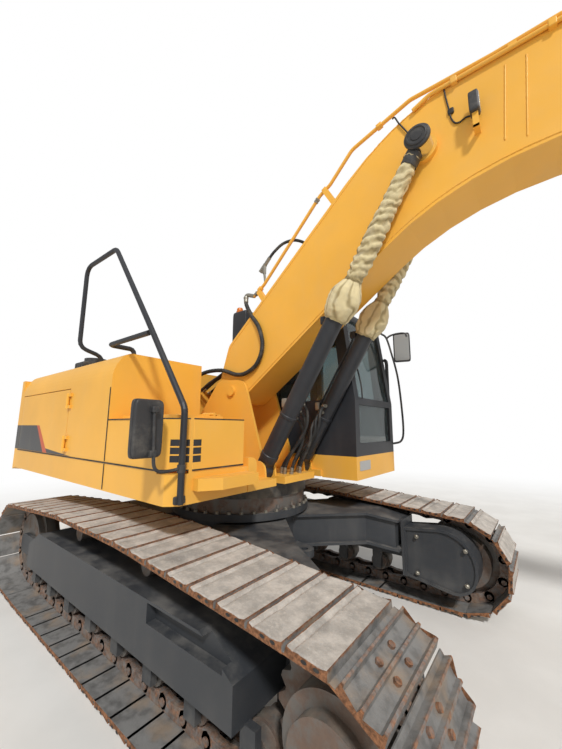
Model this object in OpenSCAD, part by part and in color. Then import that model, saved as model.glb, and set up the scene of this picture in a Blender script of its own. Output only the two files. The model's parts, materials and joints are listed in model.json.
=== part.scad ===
// Crawler excavator of the 22 tonne class with a long undercarriage.
// Frame: X forward, Y to the operator's left, Z up, millimetres.
// The sizes below are measured from the swing axis, at ground level.
// The finished pieces are shifted so that the origin is the middle of the standing length.

/* [Undercarriage] */
// Track gauge, between the middles of the two chains
gauge = 2380; // [2200:10:2600]
// Width of a track shoe
shoe_w = 600; // [500:10:700]
// Distance from the swing axis to the sprocket and to the idler
tumbler_x = 1820; // [1700:10:1950]
// Radius from a sprocket's axle to the chain's pins
sprocket_r = 330; // [300:5:350]
// Number of shoes on each track
shoe_count = 49; // [45:1:52]
// Height of a chain link above its pin line, to the shoe
link_top = 45; // [40:1:50]
// Depth of a chain link below its pin line, to its rail
link_low = 50; // [45:1:55]
// Thickness of a shoe plate
shoe_t = 12; // [9:1:16]
// Height of a grouser bar above its plate
grouser_h = 26; // [20:1:30]
// Radius of a bottom roller's tread
roller_r = 80; // [70:1:88]
// Number of bottom rollers on each side
roller_count = 8; // [6:1:9]
// Radius of a carrier roller
carrier_r = 60; // [50:1:70]
// Height of the chain's pins over the carrier rollers
carrier_pin_z = 845; // [820:5:860]
// Distance of the underside of the track frame from the ground
frame_low_z = 338; // [320:1:360]
// Height of the top of the track frame
frame_top_z = 660; // [600:5:680]
// Distance of the track frame's outer face from the chain's middle
frame_out = 225; // [200:5:240]

/* [Turntable] */
// Outer radius of the slewing ring
ring_r = 640; // [560:5:680]
// Height of the seat of the slewing ring on the car body
ring_low_z = 900; // [880:5:930]
// Height of the slewing ring
ring_h = 120; // [100:5:140]

/* [House] */
// Width of the house
house_w = 2704; // [2600:2:2760]
// Height of the underside of the side skirts
skirt_z = 1145; // [1120:1:1160]
// Height of the deck
deck_z = 1350; // [1330:1:1370]
// Radius of the swing of the tail
tail_r = 2850; // [2800:10:2900]
// Height of the roof of the engine compartment
roof_z = 2225; // [2150:5:2260]
// Place of the front wall of the rear bodies
rear_body_x = -120; // [-160:5:-100]
// Place of the joint between the bodies and the counterweight
weight_x = -2420; // [-2450:5:-2400]
// Width of each side body, from the house side inwards
side_body_w = 865; // [840:5:880]
// Front of the low box on the right
low_box_x = 745; // [720:5:800]
// Height of the top of the low box on the right
low_box_z = 1680; // [1640:5:1720]
// Length of each side door
side_door_len = 1430; // [1200:10:1440]
// Thickness of sheet walls and doors
sheet_t = 40; // [30:1:50]
// Outer diameter of the handrail tubes
rail_d = 42; // [34:1:48]
// Width of a mirror
mirror_w = 200; // [160:5:240]
// Height of a mirror
mirror_h = 350; // [300:10:380]
// Distance of each mirror from the handrail's side
mirror_stand = 97; // [20:1:200]

/* [Cab] */
// Front of the cab
cab_front_x = 1123; // [1090:1:1160]
// Length of the cab
cab_len = 1740; // [1650:5:1800]
// Distance of the cab's inner wall from the middle of the machine
cab_in_y = 375; // [372:1:385]
// Height of the cab roof
cab_top_z = 2950; // [2900:5:3000]
// Height of the sill of the cab's right window
right_sill_z = 1900; // [1800:10:1960]
// Height of the cab's base rail
cab_base_h = 216; // [190:2:240]
// Thickness of the cab walls and of its door
cab_t = 60; // [50:1:70]
// Length of the cab door
door_len = 900; // [840:5:940]

/* [Boom] */
// Height of the boom foot pin
boom_foot_z = 1985; // [1960:5:2010]
// Distance of the boom foot pin ahead of the swing axis
boom_foot_x = 60; // [40:5:80]
// Length of the boom, foot pin to tip pin
boom_len = 5700; // [5650:5:5750]
// Rise of the line from the foot pin to the tip pin at rest, in degrees
boom_rise = 14.5; // [14:0.1:15]
// Width of the boom
boom_w = 400; // [380:2:410]
// Radius of the boom's pins
boom_pin_r = 50; // [40:1:55]

/* [Arm] */
// Length of the arm, tip pin to bucket pin
arm_len = 2910; // [2890:5:2930]
// Width of the arm
arm_w = 300; // [280:2:310]
// Distance of the arm's tail pin behind its pivot, along the arm
arm_tail = 760; // [740:5:780]
// Rise of the arm's tail pin above the line of its pins
arm_tail_rise = 330; // [310:5:350]

/* [Bucket] */
// Radius from the bucket pin to the tip of the teeth
bucket_r = 1480; // [1450:5:1500]
// Width of the bucket
bucket_w = 1050; // [950:10:1150]
// Slope of the bucket's floor to the line from its pin to its teeth, in degrees
floor_slope = 33; // [31:0.5:35]
// Distance between the bucket's two pins
bucket_pins = 450; // [430:5:460]
// Height of the parked bucket's floor above the ground
park_gap = 15; // [10:1:30]
// Radius of the bucket's pins
bucket_pin_r = 40; // [36:1:45]
// Number of teeth
tooth_count = 5; // [4:1:6]

/* [Rams] */
// Distance of each boom ram from the middle of the machine
boom_ram_y = 290; // [286:1:292]
// Outer diameter of the boom ram barrels
boom_ram_d = 150; // [130:1:152]
// Diameter of the boom ram rods
boom_rod_d = 85; // [75:1:95]
// Length of the boom ram barrels from the foot pin
boom_ram_len = 1620; // [1580:5:1650]
// Outer diameter of the arm ram barrel
arm_ram_d = 160; // [140:1:170]
// Diameter of the arm ram rod
arm_rod_d = 95; // [85:1:105]
// Length of the arm ram barrel from its foot pin
arm_ram_len = 1720; // [1680:5:1740]
// Outer diameter of the bucket ram barrel
bucket_ram_d = 140; // [120:1:150]
// Diameter of the bucket ram rod
bucket_rod_d = 80; // [70:1:90]
// Length of the bucket ram barrel from its foot pin
bucket_ram_len = 1430; // [1380:5:1460]
// Radius of the rams' pins
ram_pin_r = 40; // [32:1:45]

/* [Hidden] */

// Smoothness of round parts, and the turn between two points of a rounded corner
$fn = 48;
arc_step = 9;
// Clearances: a pin in its bore, a rod in its gland, a piece on its seat, two faces side by side, parts that move apart
pin_gap = 0.1;
rod_gap = 0.3;
seat_gap = 0.3;
face_gap = 1.5;
move_gap = 8;
// How far one piece of a fused body reaches into the next
bite = 6;

// Colours
yellow = [0.93, 0.66, 0.10];
charcoal = [0.16, 0.16, 0.17];
rust = [0.36, 0.27, 0.20];
mud = [0.62, 0.58, 0.50];
steel = [0.75, 0.76, 0.78];
rubber_black = [0.07, 0.07, 0.07];
glass_tint = [0.30, 0.38, 0.40, 0.5];
cloth_tan = [0.62, 0.52, 0.36];
seat_grey = [0.25, 0.25, 0.27];

// Plane geometry in the side view: a point is [x, z]
function unit(v) = v / norm(v);
function heading(a) = [cos(a), sin(a)];
function turned(p, a) = [p.x * cos(a) - p.y * sin(a), p.x * sin(a) + p.y * cos(a)];
function angle_of(v) = atan2(v.y, v.x);
// The point at distance ra from a and rb from b, to the left of the way from a to b
function meet(a, ra, b, rb) =
    let (d = norm(b - a), x = (d * d + ra * ra - rb * rb) / (2 * d), h = sqrt(ra * ra - x * x))
    a + turned([x, h], angle_of(b - a));
// One rounded corner at b, as points along its arc
function corner(a, b, c, r) =
    let (
        u1 = unit(a - b), u2 = unit(c - b), ang = acos(u1 * u2), s = sign(cross(u1, u2)),
        mid = b + unit(u1 + u2) * r / sin(ang / 2), start = angle_of(b + u1 * r / tan(ang / 2) - mid),
        turn = 180 - ang, n = max(1, ceil(turn / arc_step))
    )
    [for (k = [0 : n]) mid + r * heading(start - s * k * turn / n)];
// A closed outline from rows of [x, z, corner radius]
function rounded(rows) = [
    for (i = [0 : len(rows) - 1])
        let (
            n = len(rows), a = rows[(i + n - 1) % n], b = rows[i], c = rows[(i + 1) % n],
            pa = [a.x, a.y], pb = [b.x, b.y], pc = [c.x, c.y]
        )
        for (p = b.z > 0 ? corner(pa, pb, pc, b.z) : [pb]) p
];

// A side-view shape given a width from y0 to y1
module slab(y0, y1) translate([0, y1, 0]) rotate([90, 0, 0]) linear_extrude(y1 - y0) children();
// A round bar along Y at a side-view point
module bar_y(r, y0, y1, p) translate([p.x, y1, p.y]) rotate([90, 0, 0]) cylinder(r = r, h = y1 - y0);
// A shape and its copy on the other side of the machine
module both_sides() {
    children();
    mirror([0, 1, 0]) children();
}
// A box from its low corner to its high corner
module block(a, b) translate(a) cube(b - a);
// A round bar between two points in space
module strut(a, b, r) {
    v = b - a;
    translate(a) rotate([0, acos(v.z / norm(v)), atan2(v.y, v.x)]) cylinder(r = r, h = norm(v));
}
// A bent tube: rings of [place, direction] along straight runs and elbows of a given bend radius
elbow_steps = 3;
function elbow(a, b, c, bend) =
    let (
        d1 = unit(b - a), d2 = unit(c - b), sweep = acos(d1 * d2), cut = bend * tan(sweep / 2),
        mid = b + unit(d2 - d1) * bend / cos(sweep / 2), out = unit(b - cut * d1 - mid)
    )
    [for (k = [0 : elbow_steps]) let (t = sweep * k / elbow_steps)
        [mid + bend * (cos(t) * out + sin(t) * d1), cos(t) * d1 - sin(t) * out]];
function tube_rings(pts, bend) = let (n = len(pts)) [
    [pts[0], unit(pts[1] - pts[0])],
    for (i = [1 : 1 : n - 2]) each elbow(pts[i - 1], pts[i], pts[i + 1], bend),
    [pts[n - 1], unit(pts[n - 1] - pts[n - 2])]
];
function carried(rings, n, i = 0) =
    let (d = rings[i][1], m = unit(n - (n * d) * d))
    i == len(rings) - 1 ? [m] : concat([m], carried(rings, m, i + 1));
module tube(pts, r, bend, sides = 10) {
    rings = tube_rings(pts, bend);
    first = rings[0][1];
    ups = carried(rings, abs(first.x) > 0.7 ? [0, 0.3, 1] : [1, 0.3, 0.2]);
    n = len(rings);
    polyhedron(
        points = [for (i = [0 : n - 1]) for (k = [0 : sides - 1]) let (a = 360 * k / sides)
            rings[i][0] + r * (cos(a) * ups[i] + sin(a) * cross(rings[i][1], ups[i]))],
        faces = [
            [for (k = [0 : sides - 1]) k],
            for (i = [0 : n - 2]) for (k = [0 : sides - 1])
                let (a = i * sides + k, b = i * sides + (k + 1) % sides) each [[a, a + sides, b + sides], [a, b + sides, b]],
            [for (k = [sides - 1 : -1 : 0]) (n - 1) * sides + k]
        ]
    );
}

// Hinge with its pin along Z: the fixed half reaches to +X, the moving half to -X, the pin stands out to -Y
hinge_r = 14;
hinge_pin_r = 7;
hinge_out = 16;
hinge_len = 80;
strap_t = 6;
module hinge_fixed(sink = bite) {
    translate([0, -hinge_out, 0]) {
        for (z = [-30, hinge_len]) translate([0, 0, z]) cylinder(r = hinge_r, h = 30);
        translate([0, 0, -30]) cylinder(r = hinge_pin_r, h = hinge_len + 60);
    }
    for (z = [-30, hinge_len]) {
        block([0, -hinge_out - strap_t / 2, z], [60, -hinge_out + strap_t / 2, z + 30]);
        block([25, -hinge_out, z], [60, sink, z + 30]);
    }
}
module hinge_moving() difference() {
    union() {
        translate([0, -hinge_out, 0.3]) cylinder(r = hinge_r, h = hinge_len - 0.6);
        block([-60, -hinge_out - strap_t / 2, 0.3], [0, -hinge_out + strap_t / 2, hinge_len - 0.3]);
        block([-60, -hinge_out, 0.3], [-25, bite, hinge_len - 0.3]);
    }
    translate([0, -hinge_out, -1]) cylinder(r = hinge_pin_r + pin_gap, h = hinge_len + 2);
}

// Pin places at rest, in the side view
foot = [boom_foot_x, boom_foot_z];
tip = foot + boom_len * heading(boom_rise);
function on_boom(p) = foot + turned(p, boom_rise);
boom_ram_foot = [540, 1248];
boom_ram_eye = [2012, 3664];
boom_ram_rest = norm(boom_ram_eye - boom_ram_foot);
boom_ram_tilt = angle_of(boom_ram_eye - boom_ram_foot);

// The parked bucket's floor is level, so the arm's slope follows from the heights
bucket_pin_z = bucket_r * sin(floor_slope) + park_gap;
arm_tilt = -180 + asin((tip.y - bucket_pin_z) / arm_len);
arm_dir = heading(arm_tilt);
arm_up = heading(arm_tilt + 90);
function on_arm(p) = tip + p.x * arm_dir + p.y * arm_up;
bucket_pin = on_arm([arm_len, 0]);
arm_tail_pin = on_arm([-arm_tail, arm_tail_rise]);
arm_ram_foot = on_boom([3487, 1422]);
arm_ram_rest = norm(arm_tail_pin - arm_ram_foot);
arm_ram_tilt = angle_of(arm_tail_pin - arm_ram_foot);
bucket_tilt = -180 + floor_slope;
link_lead = 105;
link_pin = bucket_pin + bucket_pins * heading(bucket_tilt + link_lead);
rocker_back = 420;
rocker_rise = 40;
rocker_len = 640;
link_len = 610;
rocker_pin = on_arm([arm_len - rocker_back, rocker_rise]);
ram_joint = meet(rocker_pin, rocker_len, link_pin, link_len);
bucket_ram_foot = on_arm([330, 590]);
bucket_ram_rest = norm(ram_joint - bucket_ram_foot);
bucket_ram_tilt = angle_of(ram_joint - bucket_ram_foot);

// Shift of the whole machine, so that the origin is the middle of its length
tail_boss_r = 115;
row_x = (tail_r - arm_tail_pin.x - tail_boss_r) / 2;
module placed() translate([row_x, 0, 0]) children();

// Chain loop round its wheels, counter-clockwise in the side view
pin_z = link_top + shoe_t + grouser_h;
wheel_rise = 12;
tumbler_z = pin_z + sprocket_r + wheel_rise;
roller_z = pin_z + link_low + roller_r;
roller_span = 1400;
carrier_x = [430, -620];
carrier_z = carrier_pin_z - link_low - carrier_r;
// Columns: x, z and the radius of the pin line round the wheel
wheels = [
    [tumbler_x, tumbler_z, sprocket_r],
    [carrier_x[0], carrier_z, carrier_r + link_low],
    [carrier_x[1], carrier_z, carrier_r + link_low],
    [-tumbler_x, tumbler_z, sprocket_r],
    [-roller_span, roller_z, roller_r + link_low],
    [roller_span, roller_z, roller_r + link_low]
];
wheel_n = len(wheels);
function wheel(i) = wheels[(i + wheel_n) % wheel_n];
function hub(i) = [wheel(i).x, wheel(i).y];
function gap_to_next(i) = norm(hub(i + 1) - hub(i));
function leave(i) = angle_of(hub(i + 1) - hub(i)) - acos((wheel(i).z - wheel(i + 1).z) / gap_to_next(i));
function wrap(i) = (leave(i) - leave(i - 1) + 720) % 360;
function arc_run(i) = wheel(i).z * wrap(i) * PI / 180;
function straight_run(i) = sqrt(pow(gap_to_next(i), 2) - pow(wheel(i).z - wheel(i + 1).z, 2));
function run_sum(i) = i < 0 ? 0 : run_sum(i - 1) + arc_run(i) + straight_run(i);
loop_len = run_sum(wheel_n - 1);
pitch = loop_len / shoe_count;
// The point of the pin line at a distance s along the loop
function on_loop(s, i = 0) =
    s <= arc_run(i) ? hub(i) + wheel(i).z * heading(leave(i - 1) + wrap(i) * s / arc_run(i))
    : s <= arc_run(i) + straight_run(i) ?
        hub(i) + wheel(i).z * heading(leave(i)) + (s - arc_run(i)) * heading(leave(i) + 90)
    : i == wheel_n - 1 ? on_loop(s - arc_run(i) - straight_run(i), 0)
    : on_loop(s - arc_run(i) - straight_run(i), i + 1);
// The loop's outline at a distance off outside the pin line
loop_step = 22.5;
function loop_outline(off) = [
    for (i = [0 : wheel_n - 1])
        let (n = max(1, ceil(wrap(i) / loop_step)))
        for (k = [0 : n]) hub(i) + (wheel(i).z + off) * heading(leave(i - 1) + wrap(i) * k / n)
];
// One shoe's outer line, from its rear edge to its front edge: [share of the pitch, height above the pins]
plate_z = link_top + shoe_t;
grouser_z = plate_z + grouser_h;
shoe_line = [
    [-0.49, link_top], [-0.47, plate_z],
    [-0.42, grouser_z], [-0.36, grouser_z], [-0.30, plate_z],
    [-0.06, plate_z], [-0.02, grouser_z], [0.04, grouser_z], [0.08, plate_z],
    [0.36, plate_z], [0.41, grouser_z], [0.46, grouser_z]
];
function shoe_points(i) =
    let (
        a = on_loop(i * pitch), b = on_loop((i + 1) % shoe_count * pitch),
        along = unit(b - a), out = turned(along, -90), mid = (a + b) / 2
    )
    [for (p = shoe_line) mid + p.x * pitch * along + p.y * out];

module track() {
    rail_in = 45;
    rail_out = 92;
    ring_in = 28;
    color(mud) {
        slab(-shoe_w / 2, shoe_w / 2) difference() {
            polygon([for (i = [0 : shoe_count - 1]) for (p = shoe_points(i)) p]);
            polygon(loop_outline(ring_in));
        }
        both_sides() slab(rail_in, rail_out) difference() {
            polygon(loop_outline(ring_in + bite));
            polygon(loop_outline(-link_low));
        }
    }
}
module track_left() translate([0, gauge / 2, 0]) track();
module track_right() translate([0, -gauge / 2, 0]) track();

// Both track frames: a box over the rollers, fork plates for the idler and a nose for the drive
frame_in = 150;
frame_end = 1380;
fork_in = 105;
fork_t = 35;
axle_r = 45;
frame_bevel = [240, 130];
fork_h = 90;
roller_ear = [45, 20];
roller_ear_y = 130;
bracket_w = 60;
bracket_t = 45;
// Foot pocket in the outer face: low corner and high corner in the side view, and its depth
pocket = [[682, 540], [1310, 645]];
pocket_depth = 60;
module track_frame() {
    fork_low = tumbler_z - fork_h;
    fork_top = tumbler_z + fork_h;
    color(charcoal) difference() {
        union() {
            slab(-frame_in, frame_out) polygon([
                [-frame_end, frame_low_z], [frame_end, frame_low_z], [frame_end, frame_top_z - frame_bevel.y],
                [frame_end - frame_bevel.x, frame_top_z], [-frame_end + frame_bevel.x, frame_top_z],
                [-frame_end, frame_top_z - frame_bevel.y]
            ]);
            for (side = [-1, 1]) translate([0, side * (fork_in + fork_t / 2), 0])
                slab(-fork_t / 2, fork_t / 2) polygon(rounded([
                    [-frame_end + bite, fork_low, 0], [-frame_end + bite, fork_top, 0],
                    [-tumbler_x - fork_h, fork_top, fork_h - 10], [-tumbler_x - fork_h, fork_low, fork_h - 10]
                ]));
            for (i = [0 : roller_count - 1]) for (side = [-1, 1])
                block(
                    [roller_x(i) - roller_ear.x, side * roller_ear_y - roller_ear.y, roller_z - roller_ear.x],
                    [roller_x(i) + roller_ear.x, side * roller_ear_y + roller_ear.y, frame_low_z + bite]
                );
            for (x = carrier_x)
                block(
                    [x - bracket_w, -frame_in, frame_top_z - bite],
                    [x + bracket_w, -frame_in + bracket_t, carrier_z + bracket_t - 10]
                );
        }
        block([pocket[0].x, frame_out - pocket_depth, pocket[0].y], [pocket[1].x, frame_out + 1, pocket[1].y]);
    }
}
function roller_x(i) = -roller_span + i * 2 * roller_span / (roller_count - 1);
module track_frames() both_sides() translate([0, -gauge / 2, 0]) mirror([0, 1, 0]) track_frame();

// Bottom rollers and carrier rollers on their axles
module rollers() color(charcoal) both_sides() translate([0, gauge / 2, 0]) {
    for (i = [0 : roller_count - 1]) {
        p = [roller_x(i), roller_z];
        bar_y(roller_r - seat_gap, -100, 100, p);
        bar_y(roller_r + 15, -38, 38, p);
        bar_y(30, -109.7, 109.7, p);
    }
    for (x = carrier_x) {
        bar_y(carrier_r - seat_gap, -95, 95, [x, carrier_z]);
        bar_y(28, -frame_in + bracket_t + seat_gap, -95 + bite, [x, carrier_z]);
    }
}
module idlers() color(rust) both_sides() translate([0, gauge / 2, 0]) {
    p = [-tumbler_x, tumbler_z];
    bar_y((sprocket_r - link_low) * cos(loop_step / 2) - seat_gap, -92, 92, p);
    bar_y(sprocket_r - 5, -40, 40, p);
    bar_y(axle_r, -fork_in + 0.3, fork_in - 0.3, p);
}
// Toothed drive wheels with their hubs
tooth_n = 21;
hub_r = 230;
module sprockets() color(rust) both_sides() translate([0, gauge / 2, 0]) {
    p = [tumbler_x, tumbler_z];
    slab(-32, 32) translate(p) polygon([
        for (i = [0 : tooth_n - 1]) for (q = [[0, -22], [0.3, 12], [0.55, 12], [0.85, -22]])
            (sprocket_r + q.y) * heading((i + q.x) * 360 / tooth_n)
    ]);
    bar_y(hub_r, -guard_out + seat_gap, 150, p);
    bar_y(hub_r - 60, 150 - bite, 205, p);
}
// Inner guards over the drive motors: a plate with a raised rim, bolted to the track frames by a flange
guard_in = 400;
guard_out = frame_in + seat_gap;
guard_x0 = frame_end + 5;
guard_rim = [14, 22];
flange_t = 16;
flange_z = [277, 763];
guard_side = rounded([
    [guard_x0, flange_z[0], 0], [tumbler_x + 110, 195, 190], [tumbler_x + 265, 775, 280], [guard_x0, 690, 0]
]);
module drive_guards() color(charcoal) both_sides() {
    face_y = gauge / 2 - guard_in;
    slab(face_y, gauge / 2 - guard_out) polygon(guard_side);
    slab(face_y - guard_rim[0], face_y + bite) difference() {
        polygon(guard_side);
        offset(delta = -guard_rim[1]) polygon(guard_side);
    }
    block([guard_x0 - flange_t, face_y - 2 * flange_t, flange_z[0]], [guard_x0 + bite, gauge / 2 - guard_out, flange_z[1]]);
}

// Middle of the undercarriage: a round seat for the ring and four box legs with overhanging top and bottom plates
leg_low_z = 480;
centre_r = ring_r - 40;
seat_t = 60;
centre_bore_r = 210;
// Front edge of a leg, from the middle out to the track frame. Columns: x, y, its top's z and its bottom's z
leg_edge = [
    [centre_r + 5, 50, 820, 540], [1114, 565, 820, 540],
    [guard_x0 - flange_t - seat_gap, 690, 768, 488]
];
leg_back_x = 620;
plate_t = 22;
plate_out = 38;
module leg_plan() {
    frame_y = gauge / 2 - frame_in;
    past_y = frame_y + plate_out;
    polygon([
        for (p = leg_edge) [p[0], p[1]],
        [leg_edge[2][0], past_y], [leg_back_x, past_y], [centre_r / 2, centre_r], [centre_r / 2, leg_edge[0][1]]
    ]);
}
// Side view of a leg, with its top and bottom moved in by t
module leg_rise(t) slab(0, gauge) polygon([
    [0, leg_edge[0][2] - t], for (i = [1, 2]) [leg_edge[i][0], leg_edge[i][2] - t],
    for (i = [2, 1]) [leg_edge[i][0], leg_edge[i][3] + t], [0, leg_edge[0][3] + t]
]);
module leg() intersection() {
    union() {
        difference() {
            intersection() {
                linear_extrude(ring_low_z) leg_plan();
                leg_rise(0);
            }
            leg_rise(plate_t);
        }
        intersection() {
            linear_extrude(ring_low_z) offset(delta = -plate_out) leg_plan();
            leg_rise(bite);
        }
    }
    block([0, 0, 0], [gauge, gauge / 2 - frame_in, ring_low_z]);
}
// Towing plate at the front, with an upright hole
tow_bore_r = 30;
tow_r = 70;
tow_t = 60;
tow_x = ring_r + 150;
tow_low_z = leg_low_z + 40;
module car_body() color(charcoal) difference() {
    union() {
        translate([0, 0, leg_low_z]) cylinder(r = centre_r, h = ring_low_z - leg_low_z, $fn = 72);
        translate([0, 0, ring_low_z - seat_t]) cylinder(r = ring_r + 40, h = seat_t, $fn = 72);
        translate([0, 0, tow_low_z]) linear_extrude(tow_t) polygon(rounded([
            [centre_r - 60, -2 * tow_r, 0], [tow_x + tow_r, -tow_r, tow_r - 5], [tow_x + tow_r, tow_r, tow_r - 5],
            [centre_r - 60, 2 * tow_r, 0]
        ]));
        both_sides() {
            leg();
            mirror([1, 0, 0]) leg();
        }
    }
    translate([0, 0, leg_low_z - 1]) cylinder(r = centre_bore_r, h = ring_low_z - leg_low_z + 2);
    translate([tow_x, 0, tow_low_z - 1]) cylinder(r = tow_bore_r, h = tow_t + 2);
}

// Slewing ring: the toothless outer race with its bolt circle heads
module swing_ring() color(charcoal) difference() {
    union() {
        translate([0, 0, ring_low_z]) cylinder(r = ring_r, h = ring_h - seat_gap, $fn = 72);
        for (i = [0 : 23]) rotate([0, 0, i * 15]) translate([ring_r - 2, 0, ring_low_z + 20]) cylinder(r = 18, h = 30, $fn = 6);
    }
    translate([0, 0, ring_low_z - 1]) cylinder(r = ring_r - 110, h = ring_h + 2, $fn = 72);
}

// House frame: floor plate, main beams with boom and ram brackets, side skirts
side_y = house_w / 2;
beam_in = boom_w / 2 + 7;
beam_t = 28;
ring_top_z = ring_low_z + ring_h;
ram_eye_w = 110;
lug_t = 20;
beam_low_z = skirt_z + 95;
engine_x = [weight_x + 180, weight_x + 1080];
skirt_t = 66;
deck_t = 60;
deck_x1 = low_box_x;
hood_x1 = -700;
beam_back_x = weight_x;
// Side view of a main beam, up to the boom's foot
beam_side = [
    [beam_back_x, skirt_z + 20, 0], [foot.x + 370, skirt_z + 20, 0], [foot.x + 395, foot.y - 565, 60],
    [foot.x + 170, foot.y + 100, 130], [foot.x - 200, foot.y + 130, 130], [foot.x - 580, foot.y - 345, 200],
    [foot.x - 960, beam_low_z, 0], [beam_back_x, beam_low_z, 0]
];
corner_cut = 65;
front_beam_x = 640;
front_beam_y = 690;
// Plan of the right skirt and the front beam, with the cut corner between them
right_skirt = [
    [weight_x, -side_y + skirt_t], [weight_x, -side_y],
    [low_box_x - corner_cut, -side_y], [low_box_x, -side_y + corner_cut], [low_box_x, -front_beam_y], [front_beam_x, -front_beam_y], [front_beam_x, -side_y + skirt_t]
];
// Plan and heights of the step on the front beam
step_out = 130;
step_plan = [
    [low_box_x - bite, -1190], [low_box_x + 55, -1190], [low_box_x + step_out, -1050], [low_box_x + step_out, -710],
    [low_box_x - bite, -710]
];
step_z = [1225, 1300];
end_plate_y = [595, 690];
end_plate_top_z = deck_z + 45;
module deck_frame() {
    eye_in = boom_ram_y - ram_eye_w / 2 - face_gap;
    eye_out = boom_ram_y + ram_eye_w / 2 + face_gap;
    color(yellow) {
        translate([0, 0, ring_top_z]) cylinder(r = ring_r + 20, h = skirt_z - ring_top_z + bite, $fn = 72);
        difference() {
            block([weight_x, -side_y + skirt_t - bite, skirt_z], [deck_x1, side_y - skirt_t + bite, skirt_z + deck_t]);
            both_sides() block([boom_ram_foot.x - 115, eye_in, skirt_z - 1], [deck_x1 + 1, eye_out, skirt_z + deck_t + 1]);
            translate([low_box_x, -side_y, skirt_z - 1]) rotate([0, 0, 45])
                block([-2 * corner_cut, -corner_cut, 0], [2 * corner_cut, corner_cut, deck_t + 2]);
        }
        both_sides() slab(beam_in, beam_in + beam_t) polygon(rounded(beam_side));
        both_sides() for (y = [eye_in - lug_t, eye_out]) slab(y, y + lug_t) polygon(rounded([
            [boom_ram_foot.x - 178, skirt_z + 20, 0], [boom_ram_foot.x + 102, skirt_z + 20, 0],
            [boom_ram_foot.x + 85, boom_ram_foot.y + 85, 80], [boom_ram_foot.x - 85, boom_ram_foot.y + 85, 80]
        ]));
        both_sides() bar_y(boom_pin_r, -1, beam_in + beam_t + 25, foot);
        both_sides() bar_y(ram_pin_r, eye_in - lug_t, eye_out + lug_t, boom_ram_foot);
        block([weight_x, side_y - skirt_t, skirt_z], [left_body_x1, side_y, body_low_z]);
        translate([0, 0, skirt_z]) linear_extrude(body_low_z - skirt_z) polygon(right_skirt);
        translate([0, 0, step_z[0]]) linear_extrude(step_z[1] - step_z[0]) polygon(step_plan);
        translate([low_box_x - 50, 0, 0]) rotate([90, 0, 90]) linear_extrude(55) polygon(rounded([
            [-end_plate_y[1], skirt_z, 0], [-end_plate_y[0], skirt_z, 0], [-end_plate_y[0], end_plate_top_z, 60],
            [-end_plate_y[1], end_plate_top_z, 0]
        ]));
        block([hood_x1 + 6, -hood_w / 2, skirt_z + deck_t - bite], [hood_x1 + 60, hood_w / 2, roof_z + 30]);
        for (y = [-400, 320]) translate([hood_x1, y, roof_z + 30]) rotate([-90, 0, 0]) hinge_fixed();
    }
}

// Cast counterweight with its round back
weight_low_z = 1090;
lift_in = 230;
module counterweight() color(yellow) difference() {
    intersection() {
        translate([0, 0, weight_low_z]) cylinder(r = tail_r, h = roof_z - weight_low_z - 60, $fn = 96);
        slab(-side_y, side_y) polygon(rounded([
            [-tail_r - 10, weight_low_z, 0], [-tail_r + 250, weight_low_z, 0], [weight_x - 0.3, weight_low_z + 60, 0],
            [weight_x - 0.3, roof_z - 60, 0], [-tail_r - 10, roof_z - 60, 160]
        ]));
    }
    for (side = [-1, 1]) translate([-tail_r + lift_in, side * 620, roof_z - 260]) cylinder(r = lift_bore_r, h = 300);
}
lift_bore_r = 32;

// Engine as one plain block with its place across the tail
module engine() color(charcoal) block([engine_x[0], -420, beam_low_z + 0.3], [engine_x[1], 420, roof_z - 260]);

// Section of a side body, seen from the front: [distance in from the side, z]
body_turn_z = roof_z - 250;
function body_section(z0) = rounded([
    [0, z0, 0], [0, roof_z - 130, 260], [110, roof_z, 110], [side_body_w, roof_z, 0], [side_body_w, z0, 0]
]);
module body_run(x0, x1, z0) translate([x0, -side_y, 0]) rotate([90, 0, 90]) linear_extrude(x1 - x0) polygon(body_section(z0));
body_low_z = deck_z - 20;
door_z0 = body_low_z + 25;
door_z1 = body_turn_z - 10;
door_x0 = weight_x + 40;
door_x1 = door_x0 + side_door_len;
door_gap = 8;
door_hinge_z = [door_z0 + 70, door_z1 - 150];
// A body's door opening: a rebate for the leaf and a deep bay behind it
module door_bay() {
    block([door_x0 - door_gap, -1, door_z0 - door_gap], [door_x1 + door_gap - 2, sheet_t + 20, door_z1 + door_gap]);
    block([door_x0 + 40, sheet_t, door_z0 + 40], [door_x1 - 40, 500, door_z1 - 40]);
}
module right_body() color(yellow) {
    difference() {
        body_run(weight_x, rear_body_x, body_low_z);
        translate([0, -side_y, 0]) door_bay();
    }
    for (z = door_hinge_z) translate([door_x1, -side_y, z]) hinge_fixed();
}
module right_door() color(yellow) translate([0, -side_y, 0]) {
    block([door_x0, 0, door_z0], [door_x1 - 2, sheet_t, door_z1]);
    for (z = door_hinge_z) translate([door_x1, 0, z]) hinge_moving();
}
left_body_x1 = cab_front_x - cab_len - 25;
module left_body() color(yellow) mirror([0, 1, 0]) {
    difference() {
        body_run(weight_x, left_body_x1, body_low_z);
        translate([0, -side_y, 0]) door_bay();
    }
    for (z = door_hinge_z) translate([door_x1, -side_y, z]) hinge_fixed();
}
module left_door() mirror([0, 1, 0]) right_door();

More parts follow.
